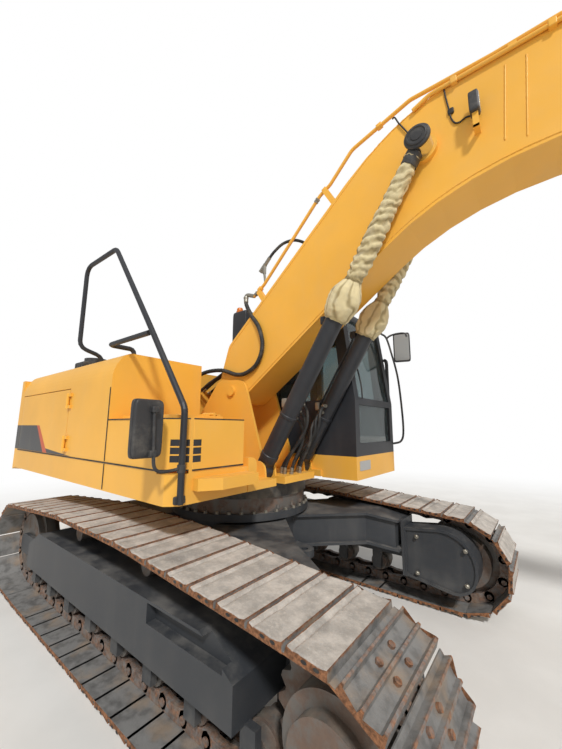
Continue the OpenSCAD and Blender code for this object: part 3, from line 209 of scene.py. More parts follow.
@dataclass
class Surface:
    """Points and faces that grow part by part and become one object."""

    name: str
    points: list = field(default_factory=list)
    faces: list = field(default_factory=list)
    marks: list = field(default_factory=list)
    count: int = 0

    def add(self, points: np.ndarray, faces: list, mark: np.ndarray | float = 0.0) -> None:
        """Adds a part.

        Args:
            points: shape (n, 3), in the row frame.
            faces: lists of indices into points.
            mark: value of the attribute "mark" at the points.
        """
        points = np.asarray(points, float).reshape(-1, 3)
        self.points.append(points)
        self.faces.extend((np.asarray(f) + self.count).tolist() for f in faces)
        self.marks.append(np.broadcast_to(np.asarray(mark, float).reshape(-1), (len(points),)))
        self.count += len(points)

    def grid(self, points: np.ndarray, wrap_u: bool = False, wrap_v: bool = False, caps: bool = False,
             mark: np.ndarray | float = 0.0) -> None:
        """Adds a two-parameter grid, with flat end caps if asked.

        Args:
            points: shape (nu, nv, 3).
            wrap_u: joins the last row to the first.
            wrap_v: joins each row's ends.
            caps: closes the first and last row.
            mark: value of the attribute, or one per point.
        """
        nu, nv = points.shape[:2]
        faces = list(grid_faces(nu, nv, wrap_u, wrap_v))
        if caps:
            faces += [np.arange(nv), (np.arange(nv) + (nu - 1) * nv)[::-1]]
        self.add(points.reshape(-1, 3), faces, mark)

    def block(self, low: np.ndarray, high: np.ndarray) -> None:
        """Adds a box: each corner takes each coordinate from one of two points.

        Args:
            low: one corner.
            high: the corner across from it.
        """
        low, high = np.minimum(low, high), np.maximum(low, high)
        signs = np.array(list(np.ndindex(2, 2, 2)))
        faces = [[0, 1, 3, 2], [4, 6, 7, 5], [0, 4, 5, 1], [2, 3, 7, 6], [0, 2, 6, 4], [1, 5, 7, 3]]
        self.add(low + signs * (high - low), faces)

    def bar(self, a: np.ndarray, b: np.ndarray, radius: float, sides: int = 16, mark: float = 0.0) -> None:
        """Adds a round bar from a to b: a circle carried along a straight line."""
        self.sweep(np.array([a, b], float), np.full((2, sides), radius), mark=mark)

    def tube(self, points: np.ndarray, radius: float, steps: int = 6, sides: int = 12) -> np.ndarray:
        """Adds a tube: a circle carried along the smooth curve through points.

        Args:
            points: shape (n, 3).
            radius: of the circle.
            steps: places per span of the curve.
            sides: points round the circle.

        Returns:
            The curve's places.
        """
        path = smooth_path(points, steps)
        self.sweep(path, np.full((len(path), sides), radius))
        return path

    def sweep(self, path: np.ndarray, radii: np.ndarray, mark: np.ndarray | float = 0.0,
              turns: float | None = None) -> None:
        """Carries rings along a path, each square to it: place = path + radius * (cos t * side + sin t * up).

        Args:
            path: centre line, shape (n, 3).
            radii: radius of each point of each ring, shape (n, sides).
            mark: value of the attribute, or one per point.
            turns: how far round an open wrap goes; a closed, capped tube without it.
        """
        step = np.gradient(path, axis=0) if len(path) > 2 else np.repeat([path[1] - path[0]], 2, axis=0)
        along = unit(step)
        helper = np.array([0.0, 1.0, 0.0]) if abs(along[0, 1]) < 0.9 else np.array([1.0, 0.0, 0.0])
        side = unit(np.cross(along, helper))
        up = np.cross(along, side)
        t = 2 * math.pi * np.linspace(0, turns or 1.0, radii.shape[1], endpoint=turns is not None)
        ring = np.cos(t)[None, :, None] * side[:, None] + np.sin(t)[None, :, None] * up[:, None]
        points = path[:, None] + radii[..., None] * ring
        self.grid(points[:, ::-1], wrap_v=turns is None, caps=turns is None, mark=mark)

    def lathe(self, foot: np.ndarray, along: tuple, rows: tuple, sides: int = 28, mark: float = 0.0,
              ring: bool = False) -> None:
        """Turns a profile round a line: place = foot + rise * along + radius * (cos t * side + sin t * up).

        Args:
            foot: start of the line.
            along: direction of the line.
            rows: profile points as radius and rise, from the closed start to the closed end.
            sides: points round the line.
            mark: value of the attribute.
            ring: leaves the middle open and joins the profile's end to its start.
        """
        axis = unit(np.asarray(along, float))
        helper = np.array([0.0, 1.0, 0.0]) if abs(axis[1]) < 0.9 else np.array([1.0, 0.0, 0.0])
        side = unit(np.cross(axis, helper))
        t = 2 * math.pi * np.arange(sides, 0, -1) / sides
        circle = np.cos(t)[:, None] * side + np.sin(t)[:, None] * np.cross(axis, side)
        radius, rise = np.asarray(rows, float).T
        points = foot + rise[:, None, None] * axis + radius[:, None, None] * circle
        self.grid(points, wrap_u=ring, wrap_v=True, caps=not ring, mark=mark)

    def superbox(self, centre: np.ndarray, half: tuple, power: float = 0.3, turn: float = 0.0) -> None:
        """Adds a box with rounded edges: an ellipsoid whose cosines and sines are raised to a power.

        Args:
            centre: its middle.
            half: half its size along X, Y and Z.
            power: 1 gives an ellipsoid, and near 0 a sharp box.
            turn: degrees that it is turned about the upright axis.
        """
        def bent(value: np.ndarray) -> np.ndarray:
            """Raises a value to the power and keeps its sign."""
            return np.sign(value) * np.abs(value) ** power

        rows, columns, pole = 25, 40, math.pi / 2 - 0.02
        rise = np.linspace(-pole, pole, rows)[:, None]
        round_z = np.linspace(2 * math.pi, 0, columns, endpoint=False)[None, :]
        flat = bent(np.cos(rise))
        shell = [flat * bent(np.cos(round_z)), flat * bent(np.sin(round_z)), bent(np.sin(rise)) + 0 * round_z]
        c, k = math.cos(math.radians(turn)), math.sin(math.radians(turn))
        turned = (np.stack(shell, axis=-1) * np.array(half)) @ np.array([[c, k, 0], [-k, c, 0], [0, 0, 1]])
        self.grid(centre + turned, wrap_v=True, caps=True)

    def build(self, finish: "Finish", body: Body | None, slot: Slot, smooth: float = 0.0) -> bpy.types.Object:
        """Makes the object, gives it its finish and lets it ride.

        Args:
            finish: what it is covered with.
            body: CAD body that it rides on, or none, where it rides on no body.
            slot: not used.
            smooth: edges under this angle, in degrees, are shaded smooth.

        Returns:
            The new object, its place in its mesh.
        """
        mesh = bpy.data.meshes.new(self.name)
        mesh.from_pydata(np.concatenate(self.points).tolist(), [], self.faces)
        mesh.validate()
        layer = mesh.attributes.new("mark", "FLOAT", "POINT")
        layer.data.foreach_set("value", np.concatenate(self.marks).astype(np.float32))
        if smooth:
            mesh.polygons.foreach_set("use_smooth", np.ones(len(mesh.polygons), bool))
            mesh.set_sharp_from_angle(angle=math.radians(smooth))
        mesh.materials.append(finish.material())
        piece = bpy.data.objects.new(self.name, mesh)
        bpy.context.scene.collection.objects.link(piece)
        if body is not None:
            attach(piece, body.value)
        LOG.info("%s: %d faces on %s", self.name, len(mesh.polygons), body.value if body else "two bodies")
        return piece


# Finishes


def shade(colour: tuple, factor: float) -> tuple:
    """Makes a colour darker or lighter by a factor, up to white."""
    return tuple(min(1.0, factor * part) for part in colour)


class Graph:
    """A material's nodes, with short calls for the ones that the finishes share."""

    def __init__(self, name: str) -> None:
        """Starts an empty material with a Principled shader.

        Args:
            name: the material's name.
        """
        self.mat = bpy.data.materials.new(name)
        self.mat.use_nodes = True
        self.tree = self.mat.node_tree
        self.tree.nodes.clear()
        self.shader = self.tree.nodes.new("ShaderNodeBsdfPrincipled")
        out = self.tree.nodes.new("ShaderNodeOutputMaterial")
        self.tree.links.new(self.shader.outputs[0], out.inputs[0])
        coordinates = self.tree.nodes.new("ShaderNodeTexCoord")
        self.place, self.normal = coordinates.outputs["Object"], coordinates.outputs["Normal"]

    def node(self, kind: str, output: int | str = 0, props: dict | None = None, **inputs: Value) -> Socket:
        """Adds a node.

        Args:
            kind: Blender's name of the node, without ShaderNode.
            output: which output is given back.
            props: settings of the node.
            inputs: numbers, colours or sockets for its inputs, by name, or as in0, in1.

        Returns:
            The output socket.
        """
        new = self.tree.nodes.new("ShaderNode" + kind)
        for key, value in (props or {}).items():
            setattr(new, key, value)
        for key, value in inputs.items():
            by_number = key[:2] == "in" and key[2:].isdigit()
            self.put(new.inputs[int(key[2:]) if by_number else key.replace("_", " ")], value)
        return new.outputs[output]

    def put(self, socket: Socket, value: Value) -> None:
        """Links a socket, or sets its value; a colour gets its alpha.

        Args:
            socket: an input.
            value: what goes in.
        """
        if isinstance(value, bpy.types.NodeSocket):
            self.tree.links.new(value, socket)
        elif isinstance(value, (tuple, list)) and socket.type == "RGBA":
            socket.default_value = (*value, 1.0)[:4]
        else:
            socket.default_value = value

    def noise(self, scale: float, detail: float = 3.0, rough: float = 0.55,
              stretch: tuple = (1, 1, 1)) -> Socket:
        """Noise in object coordinates, stretched along the axes if asked."""
        place = self.node("Mapping", Vector=self.place, Scale=stretch) if stretch != (1, 1, 1) else self.place
        return self.node("TexNoise", Vector=place, Scale=scale, Detail=detail, Roughness=rough)

    def band(self, value: Value, low: float, high: float) -> Socket:
        """Runs smoothly from 0 at low to 1 at high."""
        props = {"interpolation_type": "SMOOTHSTEP"}
        return self.node("MapRange", props=props, Value=value, in1=low, in2=high)

    def step(self, value: Value, at: float = 0.0, rising: bool = True) -> Socket:
        """Goes from 0 to 1 within two millimetres where the value passes a number, or from 1 to 0."""
        edge = 0.001 if rising else -0.001
        return self.band(value, at - edge, at + edge)

    def math(self, operation: str, a: Value, b: Value = 0.0) -> Socket:
        """One arithmetic step."""
        return self.node("Math", props={"operation": operation}, in0=a, in1=b)

    def times(self, a: Value, b: Value) -> Socket:
        """The product."""
        return self.math("MULTIPLY", a, b)

    def plus(self, a: Value, b: Value) -> Socket:
        """The sum."""
        return self.math("ADD", a, b)

    def minus(self, a: Value, b: Value) -> Socket:
        """The first less the second."""
        return self.math("SUBTRACT", a, b)

    def larger(self, a: Value, b: Value) -> Socket:
        """The larger of two."""
        return self.math("MAXIMUM", a, b)

    def mix(self, share: Value, a: Value, b: Value) -> Socket:
        """Mixes two colours: a where share is 0, b where it is 1."""
        return self.node("Mix", 2, props={"data_type": "RGBA"}, in0=share, in6=a, in7=b)

    def height(self, value: Value, depth: float, strength: float = 1.0) -> Socket:
        """A bump of that depth in metres."""
        return self.node("Bump", Strength=strength, Distance=depth, Height=value)

    def axis(self, vector: Socket, output: str) -> Socket:
        """One coordinate of a vector."""
        return self.node("SeparateXYZ", output, in0=vector)

    def mark(self) -> Socket:
        """The attribute that a piece's points carry."""
        return self.node("Attribute", "Fac", props={"attribute_name": "mark"})

    def finish(self, colour: Value, rough: Value, metallic: float = 0.0, bump: Socket | None = None,
               **more: Value) -> bpy.types.Material:
        """Fills the shader.

        Args:
            colour: its base colour.
            rough: its roughness.
            metallic: how much of it is metal.
            bump: its normal, if it isn't smooth.
            more: other inputs of the shader, by name.

        Returns:
            The material.
        """
        self.put(self.shader.inputs["Base Color"], colour)
        self.put(self.shader.inputs["Roughness"], rough)
        self.shader.inputs["Metallic"].default_value = metallic
        if bump is not None:
            self.put(self.shader.inputs["Normal"], bump)
        for key, value in more.items():
            self.put(self.shader.inputs[key.replace("_", " ")], value)
        return self.mat


_MADE: dict[str, bpy.types.Material] = {}


@dataclass(frozen=True)
class Finish:
    """What a surface is covered with. Each kind draws its own nodes, once."""

    name: str

    def material(self) -> bpy.types.Material:
        """Gives the material, made at the first call."""
        if self.name not in _MADE:
            _MADE[self.name] = self.draw(Graph(self.name))
        return _MADE[self.name]

    def draw(self, g: Graph) -> bpy.types.Material:
        """Draws the nodes; each kind has its own."""
        raise NotImplementedError


@dataclass(frozen=True)
class Paint(Finish):
    """Factory paint with dust on what looks up, faint orange peel, scuffs and dried splashes low down.

    dust is its share on top faces, dirt the height in metres under which splashes lie, and gloss the
    roughness when clean.
    """

    colour: tuple = (0.93, 0.48, 0.065)
    dust_colour: tuple = (0.55, 0.47, 0.34)
    dust: float = 0.35
    dirt: float = 1.3
    gloss: float = 0.38
    scuff: float = 0.15
    under: tuple = (0.10, 0.07, 0.05)

    def trim(self, g: Graph, colour: Socket) -> Socket:
        """Leaves the paint plain; a kind with painted bands draws them here."""
        return colour

    def draw(self, g: Graph) -> bpy.types.Material:
        """Mixes paint, fading, scuffs and dust by noise, height and the face's own direction.

        Args:
            g: an empty material.

        Returns:
            The material.
        """
        # Paint faded in patches, with streaks that run down.
        fade = g.mix(g.band(g.noise(0.9, 4), 0.3, 0.7), shade(self.colour, 0.93), shade(self.colour, 1.05))
        fade = self.trim(g, fade)
        streak = g.band(g.noise(3.5, 4, stretch=(1, 1, 0.12)), 0.5, 0.85)
        fade = g.mix(g.times(streak, 0.14), fade, self.dust_colour)
        # Chips where it is rubbed.
        chips = g.band(g.noise(38, 4, 0.7), 0.74 - 0.10 * self.scuff, 0.76 - 0.10 * self.scuff)
        rubbed = g.band(g.noise(2.2, 2), 0.55, 0.75)
        fade = g.mix(g.times(g.times(chips, rubbed), self.scuff * 3), fade, self.under)
        # Dust on faces that look up, and splashes low down, both in clouds.
        up = g.band(g.axis(g.normal, "Z"), 0.35, 0.95)
        low = g.band(g.axis(g.place, "Z"), self.dirt, self.dirt - 0.5)
        cloud = g.band(g.noise(4.5, 6, 0.65), 0.35, 0.75)
        cover = g.times(g.larger(g.times(up, self.dust), g.times(low, 0.55)), cloud)
        cover = g.larger(cover, g.times(cloud, 0.06))
        colour = g.mix(cover, fade, self.dust_colour)
        rough = g.node("MapRange", Value=cover, in1=0.0, in2=0.6, in3=self.gloss, in4=0.85)
        bump = g.height(g.plus(g.noise(220, 1), g.times(cover, 3.0)), 0.0004, 0.5)
        return g.finish(colour, rough, bump=bump, Specular_IOR_Level=0.4)


@dataclass(frozen=True)
class HousePaint(Paint):
    """Paint of the house: a dark blank panel low on each side, a red slanted stripe and a dark line by it.

    panel has the heights of its bottom and top, and its front edge at the top. lean is how far that edge runs
    forward for each metre down, and stripe_grow how much wider the stripe gets. Ahead of the stripe the line
    is line_high up and falls by line_fall a metre. Everything under skirt_z is black.
    """

    panel: tuple = (1.357, 1.630, -1.792)
    lean: float = 0.978
    stripe_w: float = 0.080
    stripe_grow: float = 0.13
    line_high: float = 0.043
    line_fall: float = 0.069
    side_y: float = 1.340
    skirt_z: float = 1.143
    dark: tuple = (0.045, 0.046, 0.050)
    stripe: tuple = (0.60, 0.085, 0.020)
    skirt: tuple = (0.02, 0.02, 0.022)

    def trim(self, g: Graph, colour: Socket) -> Socket:
        """Draws panel, stripe and line by distance from the panel's slanted front edge.

        Args:
            g: the material.
            colour: its paint.

        Returns:
            The paint with the bands on it.
        """
        x, y, z = (g.axis(g.place, name) for name in "XYZ")
        low, top, front = self.panel
        fall = g.minus(top, z)
        ahead = g.minus(g.minus(x, front + SHIFT), g.times(fall, self.lean))
        outside = g.band(g.math("ABSOLUTE", y), self.side_y, self.side_y + 0.002)
        level = g.times(g.times(g.step(z, low), g.step(z, top, rising=False)), outside)
        past = g.minus(ahead, g.plus(g.times(fall, self.stripe_grow), self.stripe_w))
        colour = g.mix(g.times(level, g.step(ahead, rising=False)), colour, self.dark)
        red = g.times(g.step(ahead), g.step(past, rising=False))
        colour = g.mix(g.times(level, red), colour, self.stripe)
        line_top = g.minus(self.line_high, g.times(past, self.line_fall))
        line = g.step(g.minus(g.minus(z, low), line_top), rising=False)
        colour = g.mix(g.times(g.times(line, level), g.step(past)), colour, self.dark)
        return g.mix(g.step(z, self.skirt_z, rising=False), colour, self.skirt)


@dataclass(frozen=True)
class Steel(Finish):
    """Bare or worn steel: a base colour, rust blooms, dust on top and fine scratches."""

    colour: tuple = (0.18, 0.17, 0.16)
    rust_colour: tuple = (0.20, 0.09, 0.04)
    rust: float = 0.4
    dust_colour: tuple = (0.42, 0.38, 0.31)
    dust: float = 0.4
    rough: float = 0.5
    metallic: float = 0.6

    def draw(self, g: Graph) -> bpy.types.Material:
        """Mixes steel, rust and dust by noise and direction.

        Args:
            g: an empty material.

        Returns:
            The material.
        """
        rust = g.times(g.band(g.noise(7, 6, 0.7), 0.42, 0.62), self.rust)
        bloom = g.mix(g.noise(60, 2), self.rust_colour, shade(self.rust_colour, 1.9))
        colour = g.mix(rust, self.colour, bloom)
        up = g.band(g.axis(g.normal, "Z"), -0.2, 0.8)
        dust = g.times(g.times(g.band(g.noise(11, 6, 0.7), 0.3, 0.75), g.plus(up, 0.25)), self.dust)
        colour = g.mix(dust, colour, self.dust_colour)
        rough = g.node("MapRange", Value=g.larger(rust, dust), in1=0.0, in2=0.5, in3=self.rough, in4=0.9)
        bump = g.height(g.noise(90, 4, 0.7), 0.0012, 0.5)
        return g.finish(colour, rough, self.metallic, bump)


@dataclass(frozen=True)
class TrackShoe(Finish):
    """Track shoes: dried mud, steel with tan grouser tops, and rust at the ends, by the points' mark.

    The mark is 0 on steel, 0.5 on rust-brown crust and 1 on mud.
    """

    mud: tuple = (0.62, 0.57, 0.51)
    wet: tuple = (0.20, 0.19, 0.175)
    steel: tuple = (0.25, 0.245, 0.235)
    tan: tuple = (0.36, 0.27, 0.19)
    crust: tuple = (0.27, 0.12, 0.055)

    def draw(self, g: Graph) -> bpy.types.Material:
        """Mixes the three by the mark, each with its own grain.

        Args:
            g: an empty material.

        Returns:
            The material.
        """
        mark = g.mark()
        # Mud: mottled, damp in patches, with pale crumbs.
        mottle = g.band(g.noise(9, 8, 0.72), 0.34, 0.68)
        mud = g.mix(mottle, shade(self.mud, 0.62), self.mud)
        mud = g.mix(g.times(g.band(g.noise(2.6, 3), 0.52, 0.72), 0.75), mud, self.wet)
        crumbs = g.times(g.band(g.noise(70, 4, 0.7), 0.5, 0.75), 0.35)
        mud = g.mix(crumbs, mud, shade(self.mud, 1.35))
        # Steel worn dark and tan, and the crust at the shoes' ends.
        steel = g.mix(g.band(g.noise(14, 5), 0.4, 0.7), self.steel, shade(self.steel, 0.55))
        steel = g.mix(g.times(g.band(g.noise(5, 4), 0.5, 0.7), 0.7), steel, self.tan)
        crust = g.mix(g.band(g.noise(45, 5, 0.7), 0.35, 0.7), shade(self.crust, 0.45), shade(self.crust, 1.5))
        # The borders between them are ragged.
        ragged = g.plus(mark, g.times(g.minus(g.noise(30, 5, 0.7), 0.5), 0.35))
        colour = g.mix(g.band(ragged, 0.12, 0.3), steel, crust)
        colour = g.mix(g.band(ragged, 0.62, 0.8), colour, mud)
        rough = g.node("MapRange", Value=ragged, in1=0.1, in2=0.4, in3=0.45, in4=0.95)
        grain = g.plus(g.noise(34, 8, 0.75), g.times(g.noise(160, 4, 0.7), 0.35))
        return g.finish(colour, rough, bump=g.height(grain, 0.006, 0.8))


@dataclass(frozen=True)
class Canvas(Finish):
    """Tan woven cloth, crumpled and dusty: warm folds, creases darkened by painted shade, and a fine weave.
    """

    colour: tuple = (0.78, 0.66, 0.38)
    painted_crease_shade: tuple = (0.42, 0.33, 0.16)
    dust_colour: tuple = (0.50, 0.43, 0.30)
    threads: float = 170.0

    def draw(self, g: Graph) -> bpy.types.Material:
        """Paints shade into the creases by the mark and draws the weave as two crossed waves.

        Args:
            g: an empty material.

        Returns:
            The material.
        """
        # Painted shade: where the mark is low, in the creases and at the ties, the cloth takes the darker
        # crease shade colour.
        colour = g.mix(g.band(g.mark(), 0.15, 0.75), self.painted_crease_shade, self.colour)
        colour = g.mix(g.times(g.band(g.noise(13, 5), 0.45, 0.75), 0.4), colour, self.dust_colour)
        wave = {"wave_type": "BANDS", "bands_direction": "DIAGONAL"}
        turned = [g.node("Mapping", Vector=g.place, Scale=turn) for turn in ((1, 1, 1), (-1, 1, -1))]
        weave = g.plus(*(g.node("TexWave", 1, props=wave, Vector=way, Scale=self.threads) for way in turned))
        bump = g.height(g.plus(g.times(weave, 0.15), g.noise(40, 6, 0.7)), 0.003, 0.7)
        return g.finish(colour, 0.92, bump=bump, Sheen_Weight=0.15)


@dataclass(frozen=True)
class Plain(Finish):
    """Plastic, rubber, glass, lens or chrome: one colour with faint mottling, dust and a fine grain."""

    colour: tuple = (0.02, 0.02, 0.02)
    rough: float = 0.5
    metallic: float = 0.0
    clear: float = 0.0
    dust: float = 0.15
    grain: float = 0.0003
    dust_colour: tuple = (0.42, 0.38, 0.31)

    def draw(self, g: Graph) -> bpy.types.Material:
        """Draws the colour with dust; glass lets light through.

        Args:
            g: an empty material.

        Returns:
            The material.
        """
        dust = g.times(g.band(g.noise(8, 6, 0.7), 0.45, 0.8), self.dust)
        colour = g.mix(dust, self.colour, self.dust_colour)
        rough = g.plus(g.times(dust, 0.8), self.rough)
        bump = g.height(g.noise(300, 2), self.grain, 0.5)
        return g.finish(colour, rough, self.metallic, bump, Transmission_Weight=self.clear)


YELLOW = HousePaint("house paint", skirt_z=-5.0)
DECK_YELLOW = HousePaint("deck paint")
BOOM_YELLOW = Paint("boom paint", dust=0.25, dirt=-2.0)
BLACK = Paint("black paint", colour=(0.027, 0.029, 0.034), dust=0.22, gloss=0.42, dirt=-2.0,
              dust_colour=(0.17, 0.17, 0.175))
FRAME_GREY = Paint("track frame paint", colour=(0.042, 0.046, 0.052), dust=0.5, dirt=0.5, gloss=0.45,
                   dust_colour=(0.30, 0.28, 0.25))
CAST = Steel("cast steel")
BUCKET = Steel("worn bucket steel", colour=(0.13, 0.11, 0.10), rust=0.55)
TEETH = Steel("ground steel", colour=(0.30, 0.29, 0.28), rust=0.25, rough=0.35)
SHOE = TrackShoe("muddy track shoe")
CANVAS = Canvas("tan canvas")
CHROME = Plain("rod chrome", colour=(0.72, 0.73, 0.75), rough=0.12, metallic=1.0, dust=0.1, grain=0.00005)
PLASTIC = Plain("black plastic", colour=(0.036, 0.036, 0.038), rough=0.45, dust=0.22)
RUBBER = Plain("black rubber", colour=(0.02, 0.02, 0.02), rough=0.6, dust=0.3)
GLASS = Plain("tinted glass", colour=(0.45, 0.55, 0.56), rough=0.03, clear=0.92, dust=0.04, grain=0.00001)
AMBER = Plain("amber lens", colour=(0.85, 0.22, 0.01), rough=0.2, clear=0.3, dust=0.08)
FITTING = Plain("plated fitting", colour=(0.34, 0.32, 0.27), rough=0.38, metallic=0.7, dust=0.35)
MIRROR = Plain("mirror glass", colour=(0.34, 0.35, 0.35), rough=0.12, dust=0.3, grain=0.0001)
LENS = Plain("lamp lens", colour=(0.72, 0.75, 0.76), rough=0.08, clear=0.5, dust=0.1, grain=0.0004)
PALE = Plain("bare pale plate", colour=(0.42, 0.42, 0.41), rough=0.4, dust=0.2)
SEAT = Plain("seat cloth", colour=(0.035, 0.036, 0.04), rough=0.9, dust=0.1, grain=0.0015)
ENGINE = Steel("engine castings", colour=(0.10, 0.10, 0.11), rust=0.1, dust=0.3, metallic=0.3)

CAD_FINISHES = {
    DECK_YELLOW: "deck_frame",
    YELLOW: "counterweight right_body left_body right_low_box box_lid hood right_door left_door cab_base",
    BOOM_YELLOW: "boom boom_pipes arm rockers bucket_link",
    BLACK: "cab_shell cab_door boom_barrels arm_barrel bucket_barrel handrails",
    FRAME_GREY: "car_body track_frames drive_guards",
    CAST: "swing_ring sprockets idlers rollers",
    BUCKET: "bucket",
    TEETH: "bucket_teeth",
    CHROME: "boom_rods arm_rod bucket_rod",
    PLASTIC: "controls mirrors boom_lamp air_intake",
    GLASS: "cab_glass door_glass",
    AMBER: "beacon",
    SEAT: "seat",
    ENGINE: "engine exhaust",
}


def dress_frame() -> None:
    """Gives each CAD node that stays its finish."""
    for finish, names in CAD_FINISHES.items():
        for name in names.split():
            mesh = FRAME["nodes"][name].data
            mesh.materials.clear()
            mesh.materials.append(finish.material())

# Undercarriage


@dataclass
class ChainLoop:
    """The pin line of a track round its wheels, in the side view.

    wheels has the columns x, z and radius. Each straight run touches two wheels, and each arc joins two runs.
    """

    shoe_count: int = 49
    tumbler_x: float = 1.82
    pin_z: float = 0.083
    wheel_r: float = 0.33
    wheel_rise: float = 0.012
    span: float = 1.4
    low_r: float = 0.13
    carriers: tuple = ((0.43, 0.735, 0.11), (-0.62, 0.735, 0.11))

    def __post_init__(self) -> None:
        """Works out the arcs and runs from the lines that touch each pair of wheels."""
        tumbler_z = self.pin_z + self.wheel_r + self.wheel_rise
        low_z = self.pin_z + self.low_r
        front, rear = ((x, tumbler_z, self.wheel_r) for x in (self.tumbler_x, -self.tumbler_x))
        low_rear, low_front = ((x, low_z, self.low_r) for x in (-self.span, self.span))
        self.wheels = np.array([front, *self.carriers, rear, low_rear, low_front])
        hub, r = self.wheels[:, :2], self.wheels[:, 2]
        step = np.roll(hub, -1, axis=0) - hub
        gap = np.linalg.norm(step, axis=1)
        fall = r - np.roll(r, -1)
        self.leave = np.arctan2(step[:, 1], step[:, 0]) - np.arccos(fall / gap)
        self.enter = np.roll(self.leave, 1)
        self.arc = r * ((self.leave - self.enter) % (2 * math.pi))
        self.run = np.sqrt(gap**2 - fall**2)
        self.ends = np.cumsum(np.stack([self.arc, self.run], axis=1).ravel())
        self.pitch = self.ends[-1] / self.shoe_count

    def at(self, s: np.ndarray) -> np.ndarray:
        """Gives the places on the pin line at distances s from its start.

        Args:
            s: distances, any shape.

        Returns:
            Places [x, z], shape (..., 2), from the swing axis.
        """
        s = np.asarray(s, float) % self.ends[-1]
        piece = np.searchsorted(self.ends, s, side="right").clip(max=len(self.ends) - 1)
        start = np.concatenate([[0], self.ends])[piece]
        k, on_run = piece // 2, piece % 2
        hub, r = self.wheels[k, :2], self.wheels[k, 2]
        angle = np.where(on_run, self.leave[k], self.enter[k] + (s - start) / r)
        out = np.stack([np.cos(angle), np.sin(angle)], axis=-1)
        ahead = np.stack([-np.sin(angle), np.cos(angle)], axis=-1)
        return hub + r[..., None] * out + (np.where(on_run, s - start, 0.0))[..., None] * ahead


